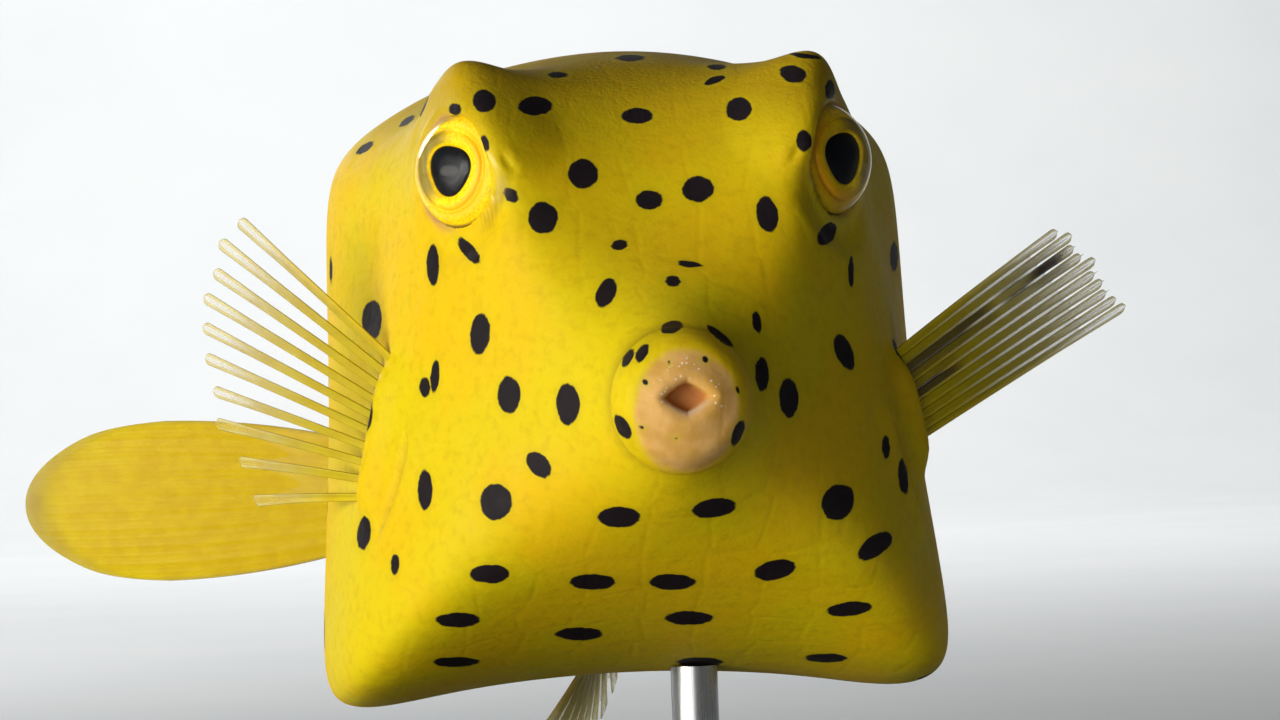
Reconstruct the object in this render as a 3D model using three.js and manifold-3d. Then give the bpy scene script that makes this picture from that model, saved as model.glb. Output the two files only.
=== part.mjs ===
// A young yellow boxfish at life size, still, on a plain display stand.
// Millimetres, +Z up. The fish faces -Y and its left side is +X.
// The origin is the middle of the stand's underside, on the floor.
//
// The shell is a loft of cross-sections along the fish. Six lines that run from the snout
// to the tail give each section its back, belly, brow corner, flank and keel corner.
// In the fish's own measure, y is the distance behind the mouth and z the height over it.
import * as THREE from "three";
import { mergeVertices } from "three/addons/utils/BufferGeometryUtils.js";
import Module from "manifold-3d";

// Where the fish is held
const MOUTH_HEIGHT = 27; // the mouth over the floor
const MOUTH_AHEAD = 23; // the mouth in front of the stand's middle
const GAP = 0.3; // between pieces that touch

// The shell, the tail and where they are parted
const SHELL_LENGTH = 41.5;
const SNOUT_TIP = 1.0; // the shell's first section, where the lips end
const PART_SNOUT = 1.5;
const PART_HEAD = 6.8;
const PART_TRUNK = 16.3;
const TAIL_BEND_RADIUS = 6;
const TAIL_BEND_ANGLE = THREE.MathUtils.degToRad(82); // towards the fish's right
const TAIL_STRAIGHT = 5.6;
const TAIL_HEIGHTS = [-1.4, -4.8]; // of its middle line, at the shell and at the fin
const TAIL_HALF_HEIGHTS = [4.5, 3.0];
const TAIL_HALF_WIDTHS = [3.3, 1.1];

// Mouth
const MOUTH_HALF_WIDTH = 0.97;
const MOUTH_HALF_HEIGHT = 0.66;
const THROAT_DEPTH = 2.2;

// Eyes, nostrils and gill slits
const EYE_RADIUS = 2.75;
const EYE_SIDE = 7.5;
const EYE_BACK = 12.7;
const EYE_UP = 10.25;
const EYE_LOOKS = [0.735, -0.675, 0.05]; // outwards, forwards and a little up
const LID_RADIUS = 2.7;
const LID_THICKNESS = 0.42;
const LID_FORWARD = 1.25; // from the eye's middle, along its look
const NOSTRIL_RADIUS = 0.32;
const NOSTRIL_DEPTH = 0.7;
const NOSTRIL_AT = [6.4, 9.7, 10.4]; // side, back and up, on the skin
const GILL_HEIGHT = 4.6;
const GILL_WIDTH = 0.5;
const GILL_DEPTH = 0.9;
const GILL_BACK = 14.3;
const GILL_UP = -3.2;
const GILL_BOW = 0.9; // how far the slit's middle lies in front of its ends

// Fins
const MEMBRANE = 0.5; // thickness at the root
const RAY = 0.85; // thickness of a ray at the root
const TIP_SHARE = 0.45; // of the thickness, left at the tips
const WEB_SHARE = 0.74; // how far the membrane reaches between two rays
const CAUDAL_WEB_SHARE = 0.94; // the tail fin's edge is nearly whole
const ROOT_SUNK = 1.2; // how deep the fins' rays start under the skin
const PECTORAL_BACK = [15.8, 16.6]; // of the first and the last ray
const PECTORAL_UP_RIGHT = [1.0, -4.2];
const PECTORAL_UP_LEFT = [0.6, -3.2];
const DORSAL_BACK = [32.4, 37.0];
const ANAL_BACK = [33.4, 37.8];
const CAUDAL_LENGTH = 17.8;
const CAUDAL_EDGE = 14.2; // length of the first and the last ray
const CAUDAL_HALF_HEIGHT = 4.2;

// Stand
const BASE_RADIUS = 21;
const BASE_THICKNESS = 4;
const BASE_BEVEL = 0.8;
const ROD_RADIUS = 1.1;
const ROD_BACK = 22.5;
const ROD_SIDE = 2.6; // clear of the anal fin, seen from the front
const BOSS_RADIUS = 2.4;
const BOSS_HEIGHT = 1.4;

// How fine the faceted surfaces are
const SPAN_STEPS = 2;
const HEAD_RINGS = 11;
const TRUNK_RINGS = 13;
const SNOUT_RINGS = 5;
const TAIL_RINGS = 8;
const TAIL_COLUMNS = 24;
const ROOT_RINGS = 24; // of the shell that the fins' roots are cut clear of

const YELLOW = 0xe6b800;
const LEMON = 0xd8c400;
const PINK = 0xd9a98c;
const EYE_YELLOW = 0xe8b400;
const FIN_YELLOW = 0xd6b41c;
const STEEL = 0xb8bbbe;
const BLACK = 0x1c1c1e;

const wasm = await Module();
wasm.setup();

// A smooth line through (y, value) points, flat to the slope of its neighbours at each.
function line(...points) {
  const slope = points.map((p, i) => {
    const before = points[Math.max(i - 1, 0)];
    const after = points[Math.min(i + 1, points.length - 1)];
    return (after[1] - before[1]) / (after[0] - before[0]);
  });
  return (y) => {
    const last = points.length - 2;
    const next = points.findIndex((p) => p[0] > y);
    const i = Math.min(Math.max(next < 0 ? last : next - 1, 0), last);
    const [y0, a] = points[i];
    const [y1, b] = points[i + 1];
    const h = y1 - y0;
    const t = THREE.MathUtils.clamp((y - y0) / h, 0, 1);
    const u = 1 - t;
    return (
      a * (1 + 2 * t) * u * u +
      slope[i] * h * t * u * u +
      b * t * t * (3 - 2 * t) -
      slope[i + 1] * h * t * t * u
    );
  };
}

// The lines of the shell. They lie a little outside it where its corners are rounded.
const backHeight = line(
  [1, 2.7], [1.8, 2.95], [3.2, 3.1], [4.5, 3.8], [6, 4.9], [8.5, 7.2], [11, 10.4],
  [14, 13.6], [18, 15.6], [24, 16.5], [31, 15.8], [35, 13.8], [38.5, 10.0], [41.5, 4.6],
);
const bellyHeight = line(
  [1, -2.95], [1.8, -3.3], [3.2, -3.3], [4.5, -4.0], [6, -5.1], [11, -8.2], [18, -11.3],
  [25, -12.9], [31, -12.6], [36, -10.8], [41.5, -6.6],
);
const browSide = line(
  [1, 2.4], [1.8, 2.6], [3.2, 2.7], [4.5, 3.4], [6, 4.6], [8.5, 6.6], [11, 7.9],
  [14, 8.9], [18, 10.3], [21, 11.8], [25, 13.4], [28, 13.7], [32, 12.8], [36, 10.4],
  [41.5, 4.4],
);
const browHeight = line(
  [1, 2.0], [1.8, 2.2], [3.2, 2.4], [4.5, 3.2], [6, 4.6], [8.5, 8.8], [11, 13.4],
  [13.2, 16.1], [15.5, 15.5], [18, 13.6], [21, 12.4], [26, 12.1], [31, 11.4], [36, 9.2],
  [41.5, 3.6],
);
const flankSide = line(
  [1, 2.85], [1.8, 3.05], [3.2, 2.9], [4.5, 3.6], [6, 4.8], [8.5, 6.8], [11, 8.7],
  [12.5, 9.7], [14, 10.5], [18, 12.4], [25, 13.7], [30, 13.2], [35, 11.0], [41.5, 4.4],
);
const keelSide = line(
  [1, 2.3], [1.8, 2.5], [3.2, 2.7], [4.5, 3.8], [6, 5.5], [8.5, 8.4], [11, 10.8],
  [14, 12.9], [18, 14.6], [25, 15.0], [30, 14.3], [35, 12.0], [41.5, 4.6],
);
const keelHeight = line(
  [1, -2.2], [1.8, -2.4], [3.2, -2.7], [4.5, -3.4], [6, -4.6], [8.5, -6.6], [11, -8.9],
  [14, -11.5], [18, -13.8], [25, -15.0], [31, -14.3], [36, -11.7], [41.5, -6.0],
);
const cornerReach = line(
  [1, 1.2], [6, 2.4], [10, 3.2], [14, 3.4], [25, 3.8], [41.5, 2.2],
);
const CORNER_SOFTNESS = 0.3; // how far a corner is drawn in towards its neighbours
const SNOUT_ROUND_UNTIL = [3, 11]; // the sections are ellipses before and boxes after

// The corner points of one section's right half, from the back to the belly
function sectionCorners(y) {
  const back = new THREE.Vector2(0, backHeight(y));
  const brow = new THREE.Vector2(browSide(y), browHeight(y));
  const keel = new THREE.Vector2(keelSide(y), keelHeight(y));
  const belly = new THREE.Vector2(0, bellyHeight(y));
  const flank = new THREE.Vector2(flankSide(y), (brow.y + keel.y) / 2);
  const arched = (middle, corner) =>
    new THREE.Vector2(corner.x / 2, middle.y + (corner.y - middle.y) / 4);
  const towards = (from, to) => {
    const way = to.clone().sub(from);
    return from.clone().add(way.setLength(Math.min(cornerReach(y), way.length() / 2)));
  };
  const roof = arched(back, brow);
  const floor = arched(belly, keel);
  const corner = (before, at, after) => {
    const [first, last] = [towards(at, before), towards(at, after)];
    const between = first.clone().lerp(last, 0.5);
    return [first, at.clone().lerp(between, CORNER_SOFTNESS), last];
  };
  return [
    back, roof, ...corner(roof, brow, flank), flank, ...corner(flank, keel, floor), floor,
    belly,
  ];
}

// Points round a smooth closed loop that follows the corners of both halves
function sectionLoop(y) {
  const half = sectionCorners(y);
  const mirrored = half.slice(1, -1).reverse();
  const all = [...half, ...mirrored.map((p) => new THREE.Vector2(-p.x, p.y))];
  const corner = (i) => all[(i + all.length) % all.length];
  const boxed = THREE.MathUtils.smoothstep(y, ...SNOUT_ROUND_UNTIL);
  const middle = (backHeight(y) + bellyHeight(y)) / 2;
  const loop = [];
  for (let i = 0; i < all.length; i++) {
    for (let k = 0; k < SPAN_STEPS; k++) {
      const t = k / SPAN_STEPS;
      const weights = [
        (1 - t) ** 3 / 6,
        (3 * t ** 3 - 6 * t ** 2 + 4) / 6,
        (-3 * t ** 3 + 3 * t ** 2 + 3 * t + 1) / 6,
        t ** 3 / 6,
      ];
      const point = new THREE.Vector2();
      weights.forEach((w, j) => point.addScaledVector(corner(i + j - 1), w));
      const angle = (2 * Math.PI * (i + t)) / all.length;
      const oval = new THREE.Vector2(
        flankSide(y) * Math.sin(angle),
        middle + (backHeight(y) - middle) * Math.cos(angle),
      );
      loop.push(oval.lerp(point, boxed));
    }
  }
  return loop;
}

// A point of the fish's own measure in the part's frame
const placed = (x, y, z) => new THREE.Vector3(x, y - MOUTH_AHEAD, z + MOUTH_HEIGHT);

const shellRing = (y) => sectionLoop(y).map((p) => placed(p.x, y, p.y));

// Stations from one y to another, both included
const stations = (from, to, count) =>
  Array.from({ length: count + 1 }, (unused, i) => from + ((to - from) * i) / count);

// A ring moved outwards in its own plane
function grownRing(ring, by) {
  if (!by) return ring;
  return ring.map((p, i) => {
    const before = ring[(i + ring.length - 1) % ring.length];
    const after = ring[(i + 1) % ring.length];
    const along = after.clone().sub(before);
    const middle = ring.reduce((sum, q) => sum.add(q), new THREE.Vector3());
    const outwards = p.clone().sub(middle.divideScalar(ring.length));
    const side = outwards.sub(along.clone().multiplyScalar(outwards.dot(along) / along.lengthSq()));
    return p.clone().addScaledVector(side.normalize(), by);
  });
}

// A closed geometry from rings of equal count, with a fan over each end
function loft(rings) {
  const columns = rings[0].length;
  const points = rings.flat();
  const triangles = [];
  const middle = (ring) =>
    ring.reduce((sum, p) => sum.add(p), new THREE.Vector3()).divideScalar(columns);
  for (let r = 0; r + 1 < rings.length; r++) {
    for (let c = 0; c < columns; c++) {
      const a = r * columns + c;
      const b = r * columns + ((c + 1) % columns);
      triangles.push([a, b, a + columns], [b, b + columns, a + columns]);
    }
  }
  const first = points.push(middle(rings[0])) - 1;
  const last = points.push(middle(rings[rings.length - 1])) - 1;
  const end = (rings.length - 1) * columns;
  for (let c = 0; c < columns; c++) {
    const d = (c + 1) % columns;
    triangles.push([first, d, c], [last, end + c, end + d]);
  }
  return geometryOf(points, triangles);
}

function geometryOf(points, triangles) {
  const geometry = new THREE.BufferGeometry();
  geometry.setAttribute(
    "position",
    new THREE.Float32BufferAttribute(points.flatMap((p) => [p.x, p.y, p.z]), 3),
  );
  geometry.setIndex(triangles.flat());
  return geometry;
}

// A geometry as a solid, turned the right way out
function solidOf(geometry) {
  const bare = geometry.clone();
  bare.deleteAttribute("normal");
  bare.deleteAttribute("uv");
  const merged = mergeVertices(bare, 1e-4);
  const triVerts = new Uint32Array(merged.index.array);
  const make = () =>
    new wasm.Manifold(
      new wasm.Mesh({
        numProp: 3,
        vertProperties: new Float32Array(merged.attributes.position.array),
        triVerts,
      }),
    );
  const solid = make();
  if (solid.volume() > 0) return solid;
  for (let i = 0; i < triVerts.length; i += 3) {
    [triVerts[i + 1], triVerts[i + 2]] = [triVerts[i + 2], triVerts[i + 1]];
  }
  return make();
}

const largest = (solid) =>
  solid.decompose().reduce((a, b) => (b.volume() > a.volume() ? b : a));

function geometryFrom(solid) {
  const mesh = solid.getMesh();
  const geometry = new THREE.BufferGeometry();
  const places = new Float32Array(mesh.numVert * 3);
  for (let i = 0; i < mesh.numVert; i++) {
    const from = i * mesh.numProp;
    places.set(mesh.vertProperties.subarray(from, from + 3), i * 3);
  }
  geometry.setAttribute("position", new THREE.BufferAttribute(places, 3));
  geometry.setIndex(new THREE.BufferAttribute(mesh.triVerts, 1));
  return geometry;
}

// Rings of a stretch of the shell between two partings
function shellRings(from, to, count, grown = 0) {
  return stations(from, to, count).map((y) => grownRing(shellRing(y), grown));
}

// The lips, from the throat out over the crest to the first section of the snout.
// Each row is the distance behind the mouth, the size and how far it is the mouth's diamond.
function lipRings() {
  const rows = [
    [THROAT_DEPTH, 0.1, 1], [THROAT_DEPTH * 0.55, 0.25, 1], [0.4, 0.3, 1],
    [0.05, 0.345, 1], [-0.1, 0.47, 0.7], [0.05, 0.68, 0.15], [0.45, 0.88, 0],
    [SNOUT_TIP, 1, 0],
  ];
  const outer = sectionLoop(SNOUT_TIP);
  const rings = rows.map(([y, size, diamond]) =>
    outer.map((p) => {
      const round = p.clone().multiplyScalar(size);
      const angle = Math.atan2(p.y, p.x);
      const reach =
        1 /
        (Math.abs(Math.cos(angle)) / MOUTH_HALF_WIDTH +
          Math.abs(Math.sin(angle)) / MOUTH_HALF_HEIGHT);
      const opening = new THREE.Vector2(Math.cos(angle), Math.sin(angle));
      opening.multiplyScalar((reach * size) / 0.33);
      return placed(...round.lerp(opening, diamond).toArray().toSpliced(1, 0, y));
    }),
  );
  return [...rings, shellRing(PART_SNOUT - GAP / 2)];
}

// The tail's middle line: an arc towards the fish's right, then straight
function tailPath(share) {
  const arc = TAIL_BEND_RADIUS * TAIL_BEND_ANGLE;
  const along = share * (arc + TAIL_STRAIGHT);
  const angle = Math.min(along, arc) / TAIL_BEND_RADIUS;
  const rest = Math.max(along - arc, 0);
  const heading = new THREE.Vector3(-Math.sin(angle), Math.cos(angle), 0);
  const at = placed(
    -TAIL_BEND_RADIUS * (1 - Math.cos(angle)),
    SHELL_LENGTH + GAP + TAIL_BEND_RADIUS * Math.sin(angle),
    THREE.MathUtils.lerp(...TAIL_HEIGHTS, share),
  );
  return { at: at.addScaledVector(heading, rest), heading };
}

function tailRing(share) {
  const { at, heading } = tailPath(share);
  const side = heading.clone().cross(new THREE.Vector3(0, 0, 1));
  const eased = THREE.MathUtils.smoothstep(share, 0, 1);
  const halfWidth = THREE.MathUtils.lerp(...TAIL_HALF_WIDTHS, eased);
  const halfHeight = THREE.MathUtils.lerp(...TAIL_HALF_HEIGHTS, eased);
  return stations(0, 2 * Math.PI, TAIL_COLUMNS)
    .slice(0, -1)
    .map((angle) =>
      at
        .clone()
        .addScaledVector(side, halfWidth * Math.sin(angle))
        .add(new THREE.Vector3(0, 0, halfHeight * Math.cos(angle))),
    );
}

const tailRings = () => stations(0, 1, TAIL_RINGS).map(tailRing);

// A geometry with its +Y turned to the given way and its middle moved to a place
function aimed(geometry, way, at) {
  const turn = new THREE.Quaternion();
  turn.setFromUnitVectors(new THREE.Vector3(0, 1, 0), way.clone().normalize());
  return geometry.applyQuaternion(turn).translate(at.x, at.y, at.z);
}

const eyePlace = (side) => placed(side * EYE_SIDE, EYE_BACK, EYE_UP);
const eyeWay = (side) => {
  const [outwards, forwards, upwards] = EYE_LOOKS;
  return new THREE.Vector3(side * outwards, forwards, upwards).normalize();
};
const eyeball = (side) =>
  aimed(new THREE.SphereGeometry(EYE_RADIUS, 18, 11), eyeWay(side), eyePlace(side));

// The socket is a ball and, in front of it, a short drill out through the skin.
function socket(side) {
  const radius = EYE_RADIUS + GAP;
  const room = new THREE.SphereGeometry(radius, 18, 11);
  const way = new THREE.CylinderGeometry(radius * 0.97, radius * 0.97, 2 * radius, 18);
  way.translate(0, radius, 0);
  return solidOf(aimed(room, eyeWay(side), eyePlace(side))).add(
    solidOf(aimed(way, eyeWay(side), eyePlace(side))),
  );
}

// The lid is a low ring of skin round the socket's rim.
function lid(side) {
  const ring = new THREE.TorusGeometry(LID_RADIUS + LID_THICKNESS, LID_THICKNESS, 6, 24);
  ring.rotateX(Math.PI / 2);
  const at = eyePlace(side).addScaledVector(eyeWay(side), LID_FORWARD);
  return solidOf(aimed(ring, eyeWay(side), at));
}

// The nostril's pit, a short tapered drill into the skin in front of the eye
function nostril(side) {
  const [x, y, z] = NOSTRIL_AT;
  const pit = new THREE.CylinderGeometry(NOSTRIL_RADIUS, NOSTRIL_RADIUS * 0.6, 3, 8);
  pit.translate(0, 1.5 - NOSTRIL_DEPTH, 0);
  const outwards = new THREE.Vector3(side * 0.45, -0.85, 0.3);
  return solidOf(aimed(pit, outwards, placed(side * x, y, z)));
}

// How far the skin lies from the middle at a place on the flank
function flankAt(y, z) {
  const loop = sectionLoop(y).slice(0, sectionCorners(y).length * SPAN_STEPS);
  const found = loop.findIndex((p) => p.y < z);
  const [over, under] = [loop[found - 1], loop[found]];
  const share = (over.y - z) / (over.y - under.y);
  return THREE.MathUtils.lerp(over.x, under.x, share);
}

// The gill slit's groove, a curved slot in front of the pectoral fin
function gillSlit(side) {
  const rings = stations(-1, 1, 8).map((share) => {
    const y = GILL_BACK - GILL_BOW * (1 - share * share);
    const z = GILL_UP + (share * GILL_HEIGHT) / 2;
    const halfWidth = (GILL_WIDTH / 2) * (1 - 0.6 * share * share);
    const bottom = flankAt(y, z) - GILL_DEPTH;
    const outside = bottom + 3 * GILL_DEPTH;
    return [
      [bottom, -halfWidth], [outside, -halfWidth], [outside, halfWidth], [bottom, halfWidth],
    ].map(([x, back]) => placed(side * x, y + back, z));
  });
  return solidOf(loft(rings));
}

// A fin as one closed sheet, with its rays raised on both faces and their tips free.
// root(t) is the root of ray t, from 0 to 1. A share s along it adds reach(t) * s and
// curl(t) * s * s.
function fin({ rays, rows, root, reach, curl, web = WEB_SHARE }) {
  const perRay = 3;
  const columns = (rays - 1) * perRay;
  const middle = Array.from({ length: columns + 1 }, (unused, c) => {
    const t = c / columns;
    const length = c % perRay === 0 ? 1 : web;
    return stations(0, length, rows).map((s) =>
      root(t).addScaledVector(reach(t), s).addScaledVector(curl(t), s * s),
    );
  });
  const facing = (c, r) => {
    const [before, after] = [Math.max(c - 1, 0), Math.min(c + 1, columns)];
    const across = middle[after][r].clone().sub(middle[before][r]);
    const [lower, upper] = [Math.max(r - 1, 0), Math.min(r + 1, rows)];
    const along = middle[c][upper].clone().sub(middle[c][lower]);
    return across.cross(along).normalize();
  };
  const points = [];
  for (const face of [1, -1]) {
    for (let c = 0; c <= columns; c++) {
      const thickness = c % perRay === 0 ? RAY : MEMBRANE;
      for (let r = 0; r <= rows; r++) {
        const offset = (thickness / 2) * THREE.MathUtils.lerp(1, TIP_SHARE, r / rows);
        points.push(middle[c][r].clone().addScaledVector(facing(c, r), face * offset));
      }
    }
  }
  const at = (face, c, r) => (face * (columns + 1) + c) * (rows + 1) + r;
  const triangles = [];
  const wall = (a, b, c, d) => triangles.push([a, b, c], [a, c, d]);
  for (let c = 0; c < columns; c++) {
    for (let r = 0; r < rows; r++) {
      wall(at(0, c, r), at(0, c + 1, r), at(0, c + 1, r + 1), at(0, c, r + 1));
      triangles.push(
        [at(1, c, r), at(1, c + 1, r + 1), at(1, c + 1, r)],
        [at(1, c, r), at(1, c, r + 1), at(1, c + 1, r + 1)],
      );
    }
    wall(at(0, c, 0), at(1, c, 0), at(1, c + 1, 0), at(0, c + 1, 0));
    wall(at(0, c, rows), at(0, c + 1, rows), at(1, c + 1, rows), at(1, c, rows));
  }
  for (let r = 0; r < rows; r++) {
    wall(at(0, 0, r), at(0, 0, r + 1), at(1, 0, r + 1), at(1, 0, r));
    wall(at(0, columns, r), at(1, columns, r), at(1, columns, r + 1), at(0, columns, r + 1));
  }
  return solidOf(geometryOf(points, triangles));
}

// A way that goes from the first ray's over the middle one's to the last one's
const fanned = (first, mid, last) => (t) => {
  const weights = [(1 - t) * (1 - 2 * t), 4 * t * (1 - t), t * (2 * t - 1)];
  return [first, mid, last].reduce(
    (sum, v, i) => sum.addScaledVector(new THREE.Vector3(...v), weights[i]),
    new THREE.Vector3(),
  );
};

// The room that the fins' roots and the rod leave free
const shellWithGap = solidOf(loft(shellRings(PART_HEAD, SHELL_LENGTH, ROOT_RINGS, GAP)));
const offShell = (solid) => largest(solid.subtract(shellWithGap));

// The pectoral fins, the right one spread up and out, the left one swept up and back
const pectoralRoot = (side) => (t) => {
  const y = THREE.MathUtils.lerp(...PECTORAL_BACK, t);
  const z = THREE.MathUtils.lerp(...(side < 0 ? PECTORAL_UP_RIGHT : PECTORAL_UP_LEFT), t);
  return placed(side * (flankAt(y, z) - ROOT_SUNK), y, z);
};
const pectoralRight = () =>
  fin({
    rays: 10,
    rows: 6,
    root: pectoralRoot(-1),
    reach: fanned([-8.4, 1.1, 8.4], [-9.8, 2.6, 5.4], [-6.6, 3.2, 0.4]),
    curl: fanned([0.6, 1.2, -0.6], [0.6, 1.3, -0.4], [0.4, 1.4, -0.4]),
  });
const pectoralLeft = () =>
  fin({
    rays: 10,
    rows: 6,
    root: pectoralRoot(1),
    reach: fanned([9.4, 2.0, 6.9], [10.9, 3.4, 6.9], [11.9, 4.8, 6.5]),
    curl: fanned([0.4, 1.0, -0.4], [0.5, 1.0, -0.2], [0.6, 1.0, 0.1]),
  });

const dorsalFin = () =>
  fin({
    rays: 9,
    rows: 5,
    root: (t) => {
      const y = THREE.MathUtils.lerp(...DORSAL_BACK, t);
      return placed(0, y, backHeight(y) - ROOT_SUNK);
    },
    reach: fanned([0.1, 3.6, 3.4], [0.5, 6.4, 3.6], [0.4, 7.2, 1.4]),
    curl: fanned([0.6, 0.8, -0.6], [0.8, 1.0, -0.8], [0.6, 0.4, -0.6]),
  });

const analFin = () =>
  fin({
    rays: 9,
    rows: 5,
    root: (t) => {
      const y = THREE.MathUtils.lerp(...ANAL_BACK, t);
      return placed(0, y, bellyHeight(y) + ROOT_SUNK);
    },
    reach: fanned([-3.8, 0.6, -7.0], [-1.2, 3.0, -8.6], [1.4, 6.0, -5.6]),
    curl: fanned([-0.4, 0.8, 0.2], [0, 1.0, 0.4], [0.4, 1.0, 0.6]),
  });

// The tail fin opens fast from the tail's end and then runs on with level edges.
const caudalFin = () => {
  const { at, heading } = tailPath(1);
  const rise = CAUDAL_HALF_HEIGHT - TAIL_HALF_HEIGHTS[1];
  const way = (length, up) => [heading.x * length, heading.y * length, up];
  return fin({
    rays: 10,
    rows: 7,
    web: CAUDAL_WEB_SHARE,
    root: (t) => {
      const up = THREE.MathUtils.lerp(1, -1, t) * (TAIL_HALF_HEIGHTS[1] - GAP);
      return at.clone().addScaledVector(heading, GAP).add(new THREE.Vector3(0, 0, up));
    },
    reach: fanned(way(CAUDAL_EDGE, 3 * rise), way(CAUDAL_LENGTH, 0), way(CAUDAL_EDGE, -3 * rise)),
    curl: fanned([0, 0.8, -2 * rise], [0, 0.8, 0], [0, 0.8, 2 * rise]),
  });
};

// The rod stands on the base's boss and ends just under the belly.
function standRod() {
  const rod = new THREE.CylinderGeometry(ROD_RADIUS, ROD_RADIUS, MOUTH_HEIGHT, 20);
  rod.rotateX(Math.PI / 2);
  const foot = BASE_THICKNESS + BOSS_HEIGHT + GAP;
  rod.translate(ROD_SIDE, ROD_BACK - MOUTH_AHEAD, foot + MOUTH_HEIGHT / 2);
  return solidOf(rod).subtract(shellWithGap);
}

function standBase() {
  const disc = new THREE.LatheGeometry(
    [
      [0, 0], [BASE_RADIUS - BASE_BEVEL / 2, 0], [BASE_RADIUS, BASE_BEVEL / 2],
      [BASE_RADIUS, BASE_THICKNESS - BASE_BEVEL], [BASE_RADIUS - BASE_BEVEL, BASE_THICKNESS],
      [0, BASE_THICKNESS],
    ].map(([r, z]) => new THREE.Vector2(r, z)),
    48,
  );
  const boss = new THREE.CylinderGeometry(BOSS_RADIUS * 0.85, BOSS_RADIUS, 2 * BOSS_HEIGHT, 24);
  boss.rotateX(Math.PI / 2);
  boss.translate(ROD_SIDE, ROD_BACK - MOUTH_AHEAD, BASE_THICKNESS);
  return solidOf(disc.rotateX(Math.PI / 2)).add(solidOf(boss));
}

const fish = new THREE.Group();

function add(name, solid, color, roughness = 0.4, metalness = 0) {
  const material = new THREE.MeshStandardMaterial({ color, roughness, metalness });
  const mesh = new THREE.Mesh(geometryFrom(largest(solid)), material);
  mesh.name = name;
  fish.add(mesh);
}

const half = GAP / 2;
const shellPiece = (from, to, count) =>
  solidOf(loft(shellRings(from + half, to - half, count)));
const sides = [["right", -1], ["left", 1]];

add("lips", solidOf(loft(lipRings())), PINK);
add("snout", shellPiece(PART_SNOUT, PART_HEAD, SNOUT_RINGS), YELLOW);
let head = shellPiece(PART_HEAD, PART_TRUNK, HEAD_RINGS);
for (const [, side] of sides) {
  head = head.add(lid(side)).subtract(socket(side));
  head = head.subtract(nostril(side)).subtract(gillSlit(side));
}
add("head", head, LEMON);
add("trunk", shellPiece(PART_TRUNK, SHELL_LENGTH, TRUNK_RINGS), YELLOW);
add("tail", solidOf(loft(tailRings())), YELLOW);
for (const [name, side] of sides) {
  add("eye_" + name, solidOf(eyeball(side)), EYE_YELLOW, 0.1);
}
add("pectoral_fin_right", offShell(pectoralRight()), FIN_YELLOW);
add("pectoral_fin_left", offShell(pectoralLeft()), FIN_YELLOW);
add("dorsal_fin", offShell(dorsalFin()), FIN_YELLOW);
add("anal_fin", offShell(analFin()), FIN_YELLOW);
add("caudal_fin", caudalFin(), FIN_YELLOW);
add("stand_rod", standRod(), STEEL, 0.3, 1);
add("stand_base", standBase(), BLACK, 0.5);

export default fish;
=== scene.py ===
"""A young yellow boxfish at life size on its display stand, dressed around its solids.

Lengths are in millimetres in the fish's own measure, x to its left side, y behind the
mouth and z over the mouth, and are turned to metres when a mesh is made.
"""

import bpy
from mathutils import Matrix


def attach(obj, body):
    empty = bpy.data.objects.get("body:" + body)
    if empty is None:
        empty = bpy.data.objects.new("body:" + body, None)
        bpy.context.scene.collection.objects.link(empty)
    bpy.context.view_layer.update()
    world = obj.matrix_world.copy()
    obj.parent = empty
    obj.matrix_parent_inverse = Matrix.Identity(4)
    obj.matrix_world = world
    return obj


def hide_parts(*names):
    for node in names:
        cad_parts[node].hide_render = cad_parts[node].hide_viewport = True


bl_info = {
    "name": "Yellow boxfish",
    "version": (1, 0, 0),
    "blender": (4, 5, 0),
    "location": "View3D > Sidebar > Boxfish",
    "description": "Skin, eyes, fins and stand of a life-size young yellow boxfish",
    "category": "Object",
}

import math

import bpy
import numpy as np
from mathutils import Matrix, Vector
from mathutils.bvhtree import BVHTree

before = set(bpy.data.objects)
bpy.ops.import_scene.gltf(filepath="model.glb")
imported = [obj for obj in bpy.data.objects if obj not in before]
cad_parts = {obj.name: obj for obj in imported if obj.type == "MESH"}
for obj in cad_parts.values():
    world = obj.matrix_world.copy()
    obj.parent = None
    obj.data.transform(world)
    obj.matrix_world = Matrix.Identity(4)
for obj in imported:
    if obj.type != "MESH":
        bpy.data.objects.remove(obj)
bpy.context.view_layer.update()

MM = 0.001
SEED = 41

# Lips and the neck behind them, where the snout is a little slimmer and painted darker as shade
LIP_REACH = (2.4, 2.85)
LIP_LOW = -0.6
LIP_FADE = (0.72, 1.12)  # shares of that reach between which the lips' colour ends
LIP_END = (2.2, 3.6)  # and how far behind the mouth it ends
NECK_BACK = 3.1
NECK_WIDTH = 0.5
NECK_DEPTH = 0.3

# Where the fish is held over the stand
MOUTH_HEIGHT = 27.0
MOUTH_AHEAD = 23.0

# Shell and tail, as in the solids
SNOUT_TIP = 1.0
SHELL_LENGTH = 41.5
GAP = 0.3
CORNER_SOFTNESS = 0.3
SNOUT_ROUND_UNTIL = (3.0, 11.0)
TAIL_BEND_RADIUS = 6.0
TAIL_BEND_ANGLE = math.radians(82)
TAIL_STRAIGHT = 5.6
TAIL_HEIGHTS = (-1.4, -4.8)
TAIL_HALF_HEIGHTS = (4.5, 3.0)
TAIL_HALF_WIDTHS = (3.3, 1.1)

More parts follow.
